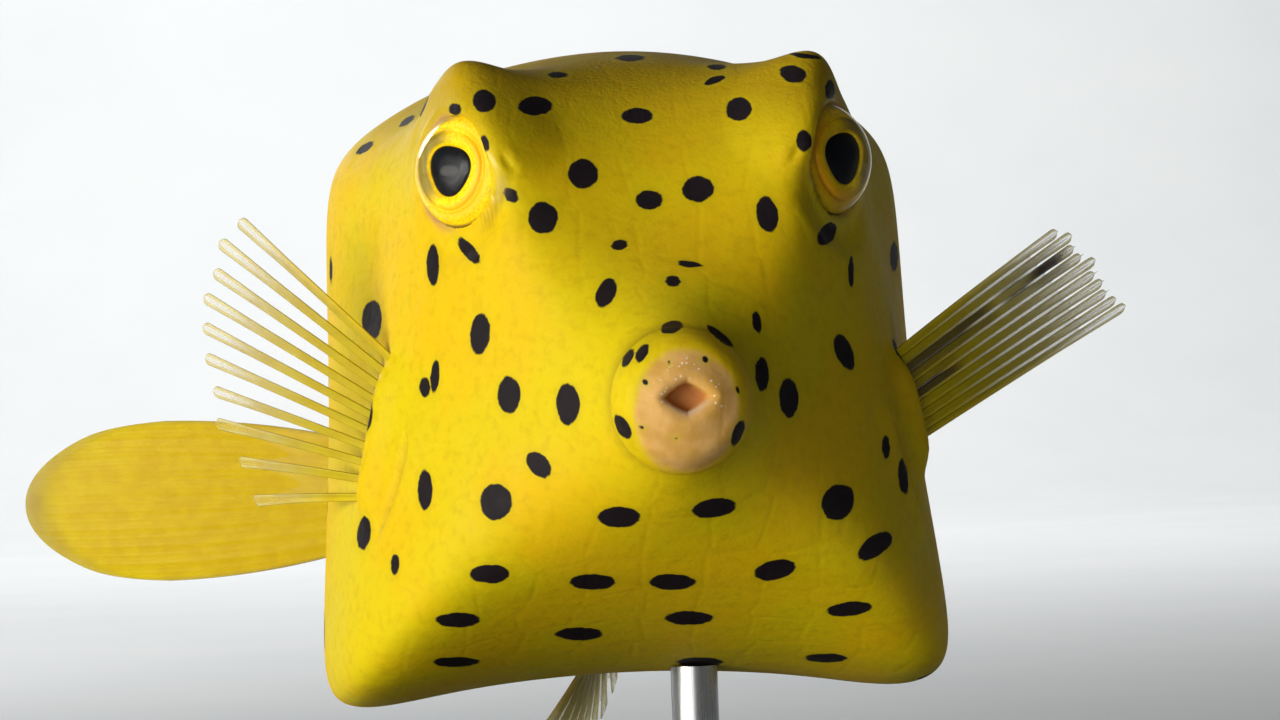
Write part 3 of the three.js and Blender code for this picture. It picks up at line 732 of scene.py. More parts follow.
def shaped_skin():
    """The skin's points after the eyes, nostrils, gill slits and fin roots are formed."""
    slit_width, slit_depth, flap_height = 0.32, 0.62, 0.22
    rim_width, wet_width, fold_out, fold_width = 0.2, 0.45, 0.6, 0.24
    points, sizes = skin_grid()
    across, behind_mouth, over = points[..., 0], points[..., 1], points[..., 2]
    # brow marks the brow and the top of the head for painted shade, and for deeper pits in the
    # relief
    brow = smoothstep(over, *BROW_HEIGHTS) * (1 - smoothstep(behind_mouth, *BROW_ENDS))
    neck = near(behind_mouth - NECK_BACK, NECK_WIDTH)
    slim = 1 - NECK_DEPTH * neck / np.maximum(np.hypot(across, over), 1)
    points[..., 0] *= slim
    points[..., 2] *= slim
    # painted shade in the groove of the neck behind the lips
    crease_shade = 0.75 * neck
    lid, wet = np.zeros_like(crease_shade), np.zeros_like(crease_shade)
    for side in (-1, 1):
        points, inside, outwards = open_eye(points, side)
        rim = near(inside + 0.08, rim_width)
        lid = np.maximum(lid, rim * smoothstep(outwards, -0.1, 0.6))
        wet = np.maximum(wet, near(inside, wet_width))
        # painted shadow under the fold on the lower inner side of each eye
        fold = near(inside - fold_out, fold_width) * smoothstep(-outwards, 0.2, 0.8)
        low = 1 - smoothstep(points[..., 2], EYE_PLACE[2] - 1, EYE_PLACE[2] + 0.5)
        crease_shade = np.maximum(crease_shade, 0.45 * fold * low)
    normals = grid_normals(points)
    for side in (-1, 1):
        place = np.array(NOSTRIL_PLACE) * (side, 1, 1)
        away = np.linalg.norm(points - place, axis=-1)
        nostril = points[np.unravel_index(np.argmin(away), away.shape)].copy()
        points = dent(points, normals, nostril, NOSTRIL_RIM)
        points = dent(points, normals, nostril, NOSTRIL_PIT)
        away, behind = gill_distance(points, side)
        flap = near(np.maximum(away - 0.5, 0), 0.9) * (behind < 0)
        lift = flap_height * flap - slit_depth * near(away, slit_width)
        points = points + normals * lift[..., None]
        # painted shade in the gill slit
        crease_shade = np.maximum(crease_shade, near(away, 0.2) * 0.9)
        for t in np.linspace(0, 1, MOUNDS):
            points = dent(points, normals, pectoral_foot(side, t), PECTORAL_MOUND)
    for back, height in ((DORSAL_BACK, back_height), (ANAL_BACK, belly_height)):
        for y in np.linspace(*back, MOUNDS):
            points = dent(points, normals, np.array((0, y, height(y) * 0.97)), BACK_FIN_MOUND)
    marks = {"crease_shade": crease_shade, "brow": brow, "lid": lid, "wet": 0.6 * wet}
    return points, {**marks, **lip_marks(points, sizes)}


def lip_marks(points, sizes):
    """How far each point is lip, the lips' specked rim, their inner edge or the mouth."""
    specks_up, specks_slope, specks_width, corner_side = 1.35, 0.75, (0.25, 0.6), 1.35
    across, behind, over = abs(points[..., 0]), points[..., 1], points[..., 2]
    reach = np.hypot(across / LIP_REACH[0], (over - LIP_LOW) / LIP_REACH[1])
    lip = (1 - smoothstep(reach, *LIP_FADE)) * (1 - smoothstep(behind, *LIP_END))
    upper_rim = abs(over - (specks_up - specks_slope * across))
    rim = (1 - smoothstep(upper_rim, *specks_width)) * (1 - smoothstep(across, 1.2, 1.8))
    corner = 1 - smoothstep(np.hypot(across - corner_side, over + 0.1), *specks_width)
    rim = np.maximum(rim, corner) * (behind < 1.5)
    size = np.full(points.shape[:2], NO_MARK)
    size[: len(sizes)] = sizes[:, None]
    inner = near(size - (MOUTH_SIZE + 0.01), 0.05) * (1 - smoothstep(over, -0.5, 0.1))
    mouth = 1 - smoothstep(size, MOUTH_SIZE - 0.09, MOUTH_SIZE)
    return {"lip": lip, "lip_rim": rim, "lip_inner": 0.8 * inner, "mouth": mouth}


# Spots


# The spots that the photo shows, each read in its 1280 by 720 frame: the middle across
# and down, the length and width, and the turn of the length against the clock in degrees
SPOTS_SEEN = (
    # back and brow
    (630, 58, 30, 7, 0), (637, 116, 32, 16, 0), (558, 75, 20, 6, 0), (535, 106, 35, 19, 0),
    (484, 101, 24, 22, 0), (455, 109, 13, 12, 0), (485, 143, 17, 9, 100),
    (739, 109, 26, 24, 0), (717, 67, 20, 6, 0), (715, 80, 22, 7, 20), (793, 74, 28, 17, -10),
    (805, 56, 30, 5, -8), (830, 90, 20, 10, 90), (804, 141, 22, 16, 90),
    # forehead
    (583, 174, 31, 30, 0), (649, 200, 28, 20, 0), (698, 189, 32, 26, 0),
    (511, 195, 18, 14, -30), (543, 218, 32, 30, 90), (469, 251, 34, 13, -50),
    (433, 265, 42, 13, 90), (767, 214, 36, 22, 100), (827, 234, 26, 16, 55),
    (619, 245, 18, 10, 5), (331, 270, 30, 3, 90),
    # cheeks and snout, above the mouth's level
    (689, 264, 28, 7, -8), (673, 281, 17, 11, -10), (606, 293, 32, 19, 65),
    (480, 334, 42, 20, 84), (372, 320, 40, 20, 90), (672, 327, 24, 12, 15),
    (720, 336, 34, 8, -40), (642, 353, 21, 11, 60), (628, 358, 21, 9, 60),
    (757, 322, 24, 9, -80), (844, 352, 38, 17, -68), (762, 374, 34, 14, 92),
    (789, 398, 40, 19, 92), (851, 272, 32, 6, 90), (894, 257, 30, 8, 90),
    # cheeks and snout, below it
    (435, 377, 34, 9, 85), (425, 387, 20, 12, 90), (509, 395, 37, 23, 90),
    (568, 404, 42, 24, 92), (539, 465, 31, 20, -50), (623, 427, 27, 13, -60),
    (738, 433, 27, 10, 68), (886, 447, 24, 9, 90), (903, 477, 36, 10, 95),
    (425, 490, 40, 15, 90), (496, 502, 37, 32, 90), (364, 533, 34, 14, 85),
    (395, 565, 22, 9, 90), (619, 517, 43, 21, 0), (714, 508, 46, 19, 8),
    (838, 502, 38, 32, 60), (875, 546, 42, 20, 35),
    # belly
    (490, 574, 40, 19, 0), (593, 582, 45, 16, 0), (672, 582, 47, 16, 0),
    (775, 570, 42, 20, 12), (458, 620, 44, 15, 0), (579, 634, 48, 13, 0),
    (689, 618, 48, 14, 0), (849, 609, 46, 14, 6), (456, 662, 48, 10, 0),
    (700, 662, 48, 9, 0), (826, 658, 42, 9, 0),
    # top edge of the flank
    (365, 148, 22, 7, 35), (407, 121, 18, 6, 35),
)
LIP_DOTS_SEEN = (
    (669, 362, 6, 5, 90), (705, 359, 10, 8, -40), (645, 382, 9, 7, -60),
    (738, 391, 12, 5, -70), (641, 427, 9, 5, -25), (676, 438, 5, 4, 0), (719, 306, 5, 4, 0),
)
LIP_DOT_FAINTNESS = 0.05
# Spots on the sides that the photo doesn't show, smaller and closer on the tail
SPOT_RADIUS = (0.62, 0.92)
SPOT_STRETCH = (0.85, 1.2)
SPOT_SPACING = 3.9
SPOT_TRIES = 9000
SPOT_REACH = 2.4  # past any spot's edge from its middle
SEEN_REACH = 2.6
THINNEST_SPOT = 3  # pixels
TAIL_END_ROWS = 14  # the last rows of the skin, under the tail fin
TAIL_SPOT_SIZE = 0.7
TAIL_SPOT_SPACING = 0.72


def camera_axes():
    """The camera's place, its ways right, up and back, in the fish's own measure."""
    back = Vector((math.sin(CAMERA_AZIMUTH), -math.cos(CAMERA_AZIMUTH), 0))
    level = Vector((math.cos(CAMERA_AZIMUTH), math.sin(CAMERA_AZIMUTH), 0))
    upright = Vector((0, 0, 1))
    right = level * math.cos(CAMERA_ROLL) - upright * math.sin(CAMERA_ROLL)
    up = level * math.sin(CAMERA_ROLL) + upright * math.cos(CAMERA_ROLL)
    scale = CAMERA_DISTANCE / FOCAL_PIXELS
    across = (MOUTH_PIXEL[0] - PICTURE_WIDTH / 2) * scale
    below = (MOUTH_PIXEL[1] - PICTURE_HEIGHT / 2) * scale
    at = back * CAMERA_DISTANCE - right * across + up * below
    return at, right, up, back


def seen_places(points):
    """Where points of the fish's own measure show in the photo's frame, and how far off."""
    at, right, up, back = (np.array(v) for v in camera_axes())
    offset = points - at
    away = -(offset @ back)
    across = PICTURE_WIDTH / 2 + FOCAL_PIXELS * (offset @ right) / away
    down = PICTURE_HEIGHT / 2 - FOCAL_PIXELS * (offset @ up) / away
    return across, down, away


def hit_skin(tree, across, down):
    """The place on the skin that shows at a pixel, or the nearest one to its ray."""
    at, right, up, back = camera_axes()
    way = (
        right * (across - PICTURE_WIDTH / 2)
        - up * (down - PICTURE_HEIGHT / 2)
        - back * FOCAL_PIXELS
    ).normalized()
    place, _, _, _ = tree.ray_cast(at, way)
    if place is not None:
        return place
    tries = [tree.find_nearest(at + way * far) for far in np.linspace(205, 228, 24)]
    return min(tries, key=lambda found: found[3])[0]


def spot_field(points, hidden_spacing):
    """The distance of each point of the skin from the nearest spot's edge, in mm."""
    shape = points.shape[:2]
    flat = points.reshape(-1, 3)
    faces = grid_faces(*shape)
    tree = BVHTree.FromPolygons([tuple(p) for p in flat], [tuple(f) for f in faces])
    field = np.full(len(flat), NO_MARK)
    centres = []
    across, down, _ = seen_places(flat)
    faints = [0.0] * len(SPOTS_SEEN) + [LIP_DOT_FAINTNESS] * len(LIP_DOTS_SEEN)
    for (x, y, length, width, turn), faint in zip(SPOTS_SEEN + LIP_DOTS_SEEN, faints):
        centre = np.array(hit_skin(tree, x, y))
        centres.append(centre)
        close = np.linalg.norm(flat - centre, axis=1) < SEEN_REACH
        x0, y0, far = seen_places(centre[None])
        scale = far / FOCAL_PIXELS
        turned = math.radians(turn)
        right = (across[close] - x0) * scale
        up = -(down[close] - y0) * scale
        along = right * math.cos(turned) + up * math.sin(turned)
        beside = up * math.cos(turned) - right * math.sin(turned)
        half_length = length * scale / 2
        half_width = max(width, THINNEST_SPOT) * scale / 2
        size = np.sqrt((along / half_length) ** 2 + (beside / half_width) ** 2)
        edge = (size - 1) * np.sqrt(half_length * half_width) + faint
        field[close] = np.minimum(field[close], edge)

    normals = grid_normals(points).reshape(-1, 3)
    sight = np.array(camera_axes()[0]) - flat
    sight = sight / np.linalg.norm(sight, axis=1, keepdims=True)
    facing = (normals * sight).sum(1)
    rng = np.random.default_rng(SEED)
    rows = np.arange(len(flat)) // shape[1]
    hidden = (facing < 0.02) & (rows > LIP_ROWS) & (rows < shape[0] - TAIL_END_ROWS)
    hidden = np.flatnonzero(hidden)
    for index in rng.permutation(hidden)[:SPOT_TRIES]:
        centre, normal = flat[index], normals[index]
        on_tail = centre[1] > SHELL_LENGTH
        spacing = hidden_spacing * (TAIL_SPOT_SPACING if on_tail else 1.0)
        gaps = np.linalg.norm(np.array(centres) - centre, axis=1)
        if gaps.min() < spacing or on_fin_root(centre):
            continue
        centres.append(centre)
        radius = rng.uniform(*SPOT_RADIUS) * (TAIL_SPOT_SIZE if on_tail else 1.0)
        offset = flat - centre
        close = np.linalg.norm(offset, axis=1) < SPOT_REACH
        stretch = rng.uniform(*SPOT_STRETCH)
        turned = rng.uniform(0, math.pi)
        first = np.cross(normal, (0, 1, 0) if abs(normal[1]) < 0.8 else (1, 0, 0))
        first = first / np.linalg.norm(first)
        second = np.cross(normal, first)
        along = offset[close] @ (first * math.cos(turned) + second * math.sin(turned))
        beside = offset[close] @ (second * math.cos(turned) - first * math.sin(turned))
        deep = offset[close] @ normal
        size = np.sqrt((along / stretch) ** 2 + (beside * stretch) ** 2 + deep**2)
        field[close] = np.minimum(field[close], size - radius)
    return field


def on_fin_root(centre):
    """Whether a place lies on the root of the dorsal or anal fin."""
    x, y, _ = centre
    return abs(x) < 1.3 and min(DORSAL_BACK) - 1 < y < max(ANAL_BACK) + 1


def build_skin(settings):
    points, marks = shaped_skin()
    rows, columns = points.shape[:2]
    flat = points.reshape(-1, 3)
    throat = flat[:columns].mean(0)
    tail_end = flat[-columns:].mean(0)
    vertices = np.vstack([flat, throat, tail_end])
    loop = np.arange(columns)
    after = (loop + 1) % columns
    last = (rows - 1) * columns
    faces = list(map(tuple, grid_faces(rows, columns)))
    faces += [(len(flat), b, a) for a, b in zip(loop, after)]
    faces += [(len(flat) + 1, last + a, last + b) for a, b in zip(loop, after)]
    obj = new_object("skin", placed(vertices), faces)
    spots = spot_field(points, settings.hidden_spot_spacing / MM)
    store(obj, "spot", np.append(spots, (NO_MARK, NO_MARK)))
    for name, values in marks.items():
        ends = (1.0, 0.0) if name in ("mouth", "lip") else (0.0, 0.0)
        store(obj, name, np.append(values.ravel(), ends))

    steps = np.linalg.norm(np.diff(points, axis=0), axis=2).mean(1)
    down = np.concatenate([[0.004], 0.004 + 0.99 * np.cumsum(steps) / steps.sum()])
    edges = np.linspace(0.002, 0.998, columns + 1)
    r, c = np.divmod(np.arange((rows - 1) * columns), columns)
    left, right, low, high = edges[c], edges[c + 1], down[r], down[r + 1]
    quads = corner_places((left, low), (right, low), (right, high), (left, high))
    left, right = edges[:-1], edges[1:]
    middle = (left + right) / 2
    tip, first_row, last_row, end = (
        np.full(columns, height) for height in (0.0005, down[0], down[-1], 0.9995)
    )
    throat_fan = corner_places((middle, tip), (right, first_row), (left, first_row))
    tail_fan = corner_places((middle, end), (left, last_row), (right, last_row))
    store_bake_map(obj, np.vstack([p.reshape(-1, 2) for p in (quads, throat_fan, tail_fan)]))
    nodes = ("lips", "snout", "head", "trunk", "tail")
    finish_piece(obj, skin_material(settings), "skin", *nodes)


# Fins


def fanned(first, mid, last):
    """A way that goes from the first ray's over the middle one's to the last one's."""

    def way(t):
        weights = ((1 - t) * (1 - 2 * t), 4 * t * (1 - t), t * (2 * t - 1))
        return sum(np.array(v, float) * w for v, w in zip((first, mid, last), weights))

    return way


def dorsal_root(t):
    y = between(DORSAL_BACK, t)
    return np.array((0, y, float(back_height(y)) - ROOT_SUNK))


def anal_root(t):
    y = between(ANAL_BACK, t)
    return np.array((0, y, float(belly_height(y)) + ROOT_SUNK))


def caudal_root(t):
    at, heading = tail_path(1.0)
    up = (1 - 2 * t) * (TAIL_HALF_HEIGHTS[1] - GAP)
    return at + heading * GAP + (0, 0, up)


def caudal_way(length, up):
    _, heading = tail_path(1.0)
    return (heading[0] * length, heading[1] * length, up)


CAUDAL_RISE = CAUDAL_HALF_HEIGHT - TAIL_HALF_HEIGHTS[1]

# Each fin's count of rays, root, and the ways of its first, middle and last ray with
# the bend that each gains towards its tip
FINS = {
    "pectoral_fin_right": (
        10,
        lambda t: pectoral_foot(-1, t, ROOT_SUNK),
        fanned((-8.4, 1.1, 8.4), (-9.8, 2.6, 5.4), (-6.6, 3.2, 0.4)),
        fanned((0.6, 1.2, -0.6), (0.6, 1.3, -0.4), (0.4, 1.4, -0.4)),
    ),
    "pectoral_fin_left": (
        10,
        lambda t: pectoral_foot(1, t, ROOT_SUNK),
        fanned((9.4, 2.0, 6.9), (10.9, 3.4, 6.9), (11.9, 4.8, 6.5)),
        fanned((0.4, 1.0, -0.4), (0.5, 1.0, -0.2), (0.6, 1.0, 0.1)),
    ),
    "dorsal_fin": (
        9,
        dorsal_root,
        fanned((0.1, 3.6, 3.1), (0.5, 6.4, 3.3), (0.4, 7.2, 1.4)),
        fanned((0.6, 0.8, -0.6), (0.8, 1.0, -0.8), (0.6, 0.4, -0.6)),
    ),
    "anal_fin": (
        9,
        anal_root,
        fanned((-3.8, 0.6, -7.0), (-1.2, 3.0, -8.6), (1.4, 6.0, -5.6)),
        fanned((-0.4, 0.8, 0.2), (0, 1.0, 0.4), (0.4, 1.0, 0.6)),
    ),
    "caudal_fin": (
        10,
        caudal_root,
        fanned(
            caudal_way(CAUDAL_EDGE, 3 * CAUDAL_RISE),
            caudal_way(CAUDAL_LENGTH, 0),
            caudal_way(CAUDAL_EDGE, -3 * CAUDAL_RISE),
        ),
        fanned((0, 0.8, -2 * CAUDAL_RISE), (0, 0.8, 0), (0, 0.8, 2 * CAUDAL_RISE)),
    ),
}


# How each fin of rays is built: half of a ray's width at its root, how far the skin
# reaches midway between two rays and beside them, how much the skin hides at its root
# and at its edge, and the painted reflections of dark surroundings in the clear skin
RAY_FINS = {
    "pectoral_fin_right": (0.18, (0.6, 0.94), (0.04, 0.02)),
    "pectoral_fin_left": (
        0.17,
        (0.8, 0.97),
        (0.92, 0.3),
        # painted reflections of dark surroundings in the clear skin: middle and half width
        # across, start, end and strength along
        ((0.24, 0.1, 0.7, 0.96, 1), (0.26, 0.09, 0, 0.6, 0.9), (0.52, 0.07, 0, 0.4, 1)),
    ),
    "dorsal_fin": (0.2, (0.8, 0.97), (0.5, 0.1)),
    "anal_fin": (0.36, (0.8, 0.97), (0.8, 0.3)),
}


def bent_ray(fin, t, shares):
    """Points of one ray, its ways along and across the fin, at shares from its root."""
    _, root, reach, curl = fin

    def at(t, s):
        return root(t) + np.outer(s, reach(t)) + np.outer(s * s, curl(t))

    step = 0.02
    middle = at(t, shares)
    along = np.gradient(middle, axis=0)
    along = along / np.linalg.norm(along, axis=1, keepdims=True)
    across = at(min(t + step, 1), shares) - at(max(t - step, 0), shares)
    across = across - along * (across * along).sum(1)[:, None]
    across = across / np.linalg.norm(across, axis=1, keepdims=True)
    return middle, along, across


def add_ray(mesh, fin, t, room, half_width, half_depth, length, dark_reflections):
    """One ray: a flat ribbon with a thread along each edge, forked towards its tip."""
    rows, columns = 64, 20
    shares = RAY_START + (length - RAY_START) * np.linspace(0, 1, rows) ** 0.9
    middle, along, across = bent_ray(fin, t, shares)
    facing = np.cross(along, across)
    angle = np.linspace(0, 2 * math.pi, columns, endpoint=False)
    side = np.cos(angle)
    thread = 0.55 + 0.45 * near(abs(side) - 0.8, 0.22)
    closing = np.sqrt(np.clip((shares[-1] - shares) / 0.02, 0.0004, 1))
    width = np.interp(shares, *half_width) * closing
    depth = np.interp(shares, *half_depth) * closing
    points = (
        middle[:, None]
        + across[:, None] * (side[None] * width[:, None])[..., None]
        + facing[:, None] * ((np.sin(angle) * thread)[None] * depth[:, None])[..., None]
    )
    edge = np.broadcast_to(abs(side), points.shape[:2])
    along_ray = np.broadcast_to(shares[:, None], points.shape[:2])
    forked = smoothstep(along_ray, 0.62, 0.9) * (1 - smoothstep(edge, 0.3, 0.65))
    fading = 1 - 0.3 * smoothstep(along_ray, 0.35, 1.0)
    cover = 0.92 * fading * (1 - 0.75 * forked)
    # painted reflection of dark surroundings, where the ray also hides more
    dark = dark_reflection_at(dark_reflections, t, along_ray)
    cover = between((cover, DARK_REFLECTION_COVER), dark)
    mesh.add(points, room, edge=edge, along=along_ray, cover=cover, ray=1.0, stain=dark)


def dark_reflection_at(dark_reflections, t, shares):
    """How dark the fin is at t across it and at shares along it.

    Each dark reflection is its middle and half its width across the fin, its ends along
    it and its strength. The darkness is a painted reflection of dark surroundings in the
    clear skin.
    """
    dark = np.zeros(np.broadcast(t, shares).shape)
    for middle, half, begin, finish, strength in dark_reflections:
        along = smoothstep(shares, begin, begin + 0.1)
        along = along * (1 - smoothstep(shares, finish - 0.1, finish))
        dark = np.maximum(dark, near(t - middle, half) * along * strength)
    return dark


def add_membrane(mesh, fin, first, last, room, web, cover, dark_reflections):
    """The thin sheet between two rays, with its edge drawn in between their tips.

    The cover is how much it hides at its root and at its edge.
    """
    count, rows = 12, 40
    share = np.linspace(0, 1, count)
    ends = web[0] + (web[1] - web[0]) * abs(2 * share - 1) ** 1.6
    places = first + (last - first) * share
    faces = []
    for t, end in zip(places, ends):
        shares = RAY_START + (end - RAY_START) * np.linspace(0, 1, rows)
        middle, along, across = bent_ray(fin, t, shares)
        faces.append((middle, np.cross(along, across) * MEMBRANE / 2))
    under = [middle - lift for middle, lift in faces]
    over = [middle + lift for middle, lift in reversed(faces)]
    points = np.stack(under + over, axis=1)
    along_ray = np.broadcast_to(np.linspace(RAY_START, 1, rows)[:, None], points.shape[:2])
    # painted reflection of dark surroundings in the clear skin, which also hides more there
    dark = dark_reflection_at(dark_reflections, np.concatenate([places, places[::-1]])[None], along_ray)
    hidden = between(cover, smoothstep(along_ray, 0.3, 1.0))
    hidden = between((hidden, DARK_REFLECTION_COVER), dark)
    mesh.add(points, room, edge=0.0, along=along_ray, cover=hidden, ray=0.0, stain=dark)


def build_ray_fin(name, settings, width, web, cover, dark_reflections=()):
    """A fin of separate rays with clear skin between them, painted dark in places as a
    reflection of dark surroundings.
    """
    fin = FINS[name]
    rays = fin[0]
    mesh = Gathered()
    rng = np.random.default_rng(SEED + len(name))
    half_width = ((0, 0.3, 0.7, 1), (width, width * 1.1, width * 1.3, width * 1.75))
    half_depth = ((0, 0.4, 1), (0.14, 0.09, 0.04))
    places = np.arange(rays) / (rays - 1)
    left, right = (0.01 + 0.98 * (np.arange(rays) + share) / rays for share in (0, 0.9))
    for i, t in enumerate(places):
        room = (left[i], 0.01, right[i], 0.49)
        length = rng.uniform(0.95, 1.0)
        add_ray(mesh, fin, t, room, half_width, half_depth, length, dark_reflections)
    for i, (first, last) in enumerate(zip(places, places[1:])):
        room = (left[i], 0.51, right[i], 0.99)
        add_membrane(mesh, fin, first, last, room, web, cover, dark_reflections)
    finish_piece(mesh.build(name), fin_material(settings), "fin", name)


def build_tail_fin(settings):
    """The tail fin: thick yellow skin with raised rays that branch towards the edge."""
    fin = FINS["caudal_fin"]
    turns = 2 * math.pi * (fin[0] - 1)
    columns, rows = 181, 90
    # How many ridges each ray has branched into, where they begin and how high they are
    branches = ((1, -0.2, 1.0), (2, 0.25, 0.7), (4, 0.55, 0.5))
    shares, ts = np.linspace(0, 1, rows), np.linspace(0, 1, columns)
    over, under = [], []
    for t in ts:
        aside = abs(2 * t - 1)
        end = 1 - 0.07 * aside**4 - 0.2 * aside**24
        s = -0.05 + (end + 0.05) * shares
        middle, along, across = bent_ray(fin, t, s)
        ridges = 0
        for count, begin, height in branches:
            wave = 0.5 + 0.5 * math.cos(turns * count * t)
            ridges = ridges + height * smoothstep(s, begin, begin + 0.15) * wave
        thick = (0.30 - 0.25 * shares) * (1 - 0.5 * aside**6)
        rounding = np.sqrt(np.clip((1 - shares) / 0.02, 0.002, 1))
        half = thick * (0.75 + 0.13 * ridges) * rounding
        closing = math.sqrt(min(1, min(t, 1 - t) / 0.012 + 0.01))
        lift = np.cross(along, across) * (half * closing)[:, None]
        over.append(middle + lift)
        under.append(middle - lift)
    points = np.stack(under + over[::-1], axis=1)
    around = np.concatenate([ts, ts[::-1]])
    aside = np.broadcast_to(abs(2 * around - 1)[None], points.shape[:2])
    along_ray = np.broadcast_to(shares[:, None], points.shape[:2])
    rim = np.maximum(smoothstep(along_ray, 0.9, 1.0), smoothstep(aside, 0.93, 1.0))
    marks = {
        "edge": 0.88 * (0.5 + 0.5 * np.cos(turns * around)[None]),
        "along": along_ray,
        "cover": 1 - 0.25 * rim,
        "ray": 0.35,
        "stain": 0.3 * smoothstep(along_ray, 0.88, 1.0) * (1 - aside),
    }
    mesh = Gathered()
    mesh.add(points, WHOLE_MAP, **marks)
    finish_piece(mesh.build("caudal_fin"), fin_material(settings), "fin", "caudal_fin")


def fin_material(settings):
    """Fin skin over bony rays, wet and seen with light behind it.

    The rays are stained yellow with a brown line along each edge and turn pale where
    they fork. The skin between them is clear, and painted dark violet in places as a
    reflection of dark surroundings. The tail fin is darker at the middle of its edge.
    Light comes through all of it.
    """
    material, tree, at = new_material("wet_fin_skin_over_rays")
    along, edge, ray, stain, cover = (
        add_node(tree, STORED, output="Fac", attribute_name=name)
        for name in ("along", "edge", "ray", "stain", "cover")
    )
    gold = (*settings.fin_gold, 1.0)

    pale = add_node(tree, RANGE, {"Value": along, "From Min": 0.35}, **SOFT)
    single = add_node(tree, RANGE, {"Value": ray, "From Min": 0.5}, **SOFT)
    pale = add_node(tree, MATHS, {0: pale, 1: single}, operation="MULTIPLY")
    cloud = add_node(tree, NOISE, {"Vector": at, "Scale": 1 / 0.9, "Detail": 4.0})
    cloud = {"Value": cloud, "From Min": 0.35, "From Max": 0.65, "To Max": 0.3}
    cloud = add_node(tree, RANGE, cloud, **SOFT)
    brown = {"Value": edge, "From Min": 0.84, "From Max": 0.98, "To Max": 0.6}
    brown = add_node(tree, RANGE, brown, **SOFT)
    brown = add_node(tree, MATHS, {0: brown, 1: ray}, operation="MULTIPLY")
    bone = gold
    for share, tint in ((pale, "DCD08A"), (cloud, "C29A00"), (brown, "4E3E14")):
        bone = add_node(tree, MIX, {0: share, 6: bone, 7: rgba(tint)}, **COLOURS)
    clear = add_node(tree, RANGE, {"Value": along, "From Min": 0.3, "From Max": 0.9}, **SOFT)
    skin = add_node(tree, MIX, {0: clear, 6: gold, 7: rgba("EDEAD8")}, **COLOURS)
    share = add_node(tree, RANGE, {"Value": ray, "From Max": 0.3}, **SOFT)
    colour = add_node(tree, MIX, {0: share, 6: skin, 7: bone}, **COLOURS)
    # painted reflection of dark surroundings on the ray fins, and the tail fin's darker edge
    colour = add_node(tree, MIX, {0: stain, 6: colour, 7: rgba("2C2032")}, **COLOURS)
    wrinkles = add_node(tree, NOISE, {"Vector": at, "Scale": 1 / 0.25, "Detail": 3.0})
    relief = {"Strength": 0.25, "Distance": 0.00005, "Height": wrinkles}
    normal = add_node(tree, BUMP, relief)
    look = {"Base Color": colour, "Alpha": cover, "Normal": normal, "Roughness": 0.42}
    look |= {"IOR": 1.38, "Specular IOR Level": 0.3, "Subsurface Weight": 0.4}
    look |= {"Subsurface Radius": (1.0, 0.85, 0.1), "Subsurface Scale": 0.0005}
    shader = add_node(tree, PRINCIPLED, look)
    add_node(tree, "ShaderNodeOutputMaterial", {"Surface": shader})
    return material


# Eyes


def eye_points(side, profile, columns, lobed=True):
    """Points of an eye's surface of revolution from (off the axis, along the look) rows."""
    middle, look, outer, up = eye_frame(side)
    turn = np.linspace(0, 2 * math.pi, columns, endpoint=False)
    out, ahead = profile[:, 0], profile[:, 1]
    lobes = 0.07 * np.cos(3 * (turn - PUPIL_POINT))
    near_pupil = (1 - smoothstep(out, 1.15, 1.9)) * lobed
    radius = out[:, None] * (1 + near_pupil[:, None] * lobes[None])
    ways = outer[None] * np.cos(turn)[:, None] + up[None] * np.sin(turn)[:, None]
    points = middle + look * ahead[:, None, None] + ways[None] * radius[..., None]
    return points, turn


def build_eye(side, name, settings):
    # The globe's profile from the lens to its back: off the axis, and ahead along the look
    control = np.array(
        [
            (0.004, 1.62), (0.3, 1.61), (0.6, 1.57), (0.85, 1.48), (0.93, 1.42),
            (PUPIL_RADIUS, 1.40), (0.99, 1.44), (1.1, 1.50), (1.3, 1.53), (1.48, 1.48),
            (1.58, 1.39), (1.66, 1.38), (1.8, 1.42), (2.0, 1.36), (2.2, 1.2), (2.35, 1.0),
            (2.5, 0.7), (2.6, 0.35), (2.62, 0.0), (2.3, -1.2), (1.4, -2.2), (0.01, -2.6),
        ]
    )
    steps = np.linspace(0, len(control) - 1, 150)
    profile = np.stack([smooth_through(control[:, k], steps) for k in (0, 1)], axis=1)
    points, turn = eye_points(side, profile, 128)
    marks = {
        "off_axis": profile[:, :1],
        "inner": smoothstep(-np.cos(turn - math.radians(20)), -0.3, 0.7)[None],
        "outer": smoothstep(np.cos(turn - math.radians(15)), 0.1, 0.75)[None],
    }
    mesh = Gathered()
    mesh.add(points, WHOLE_MAP, flip=side > 0, **marks)
    globe = mesh.build("eye_" + name)
    finish_piece(globe, iris_material(settings), "eye", "eye_" + name)
    slope = np.linspace(0.0015, math.radians(84), 56)
    dome = np.stack([EYE_RADIUS * np.sin(slope), EYE_RADIUS * np.cos(slope)], axis=1)
    points, _ = eye_points(side, dome, 96, lobed=False)
    mesh = Gathered()
    mesh.add(points, WHOLE_MAP, flip=side > 0)
    cornea = mesh.build("cornea_" + name)
    finish_piece(cornea, cornea_material(), "eye", "eye_" + name)


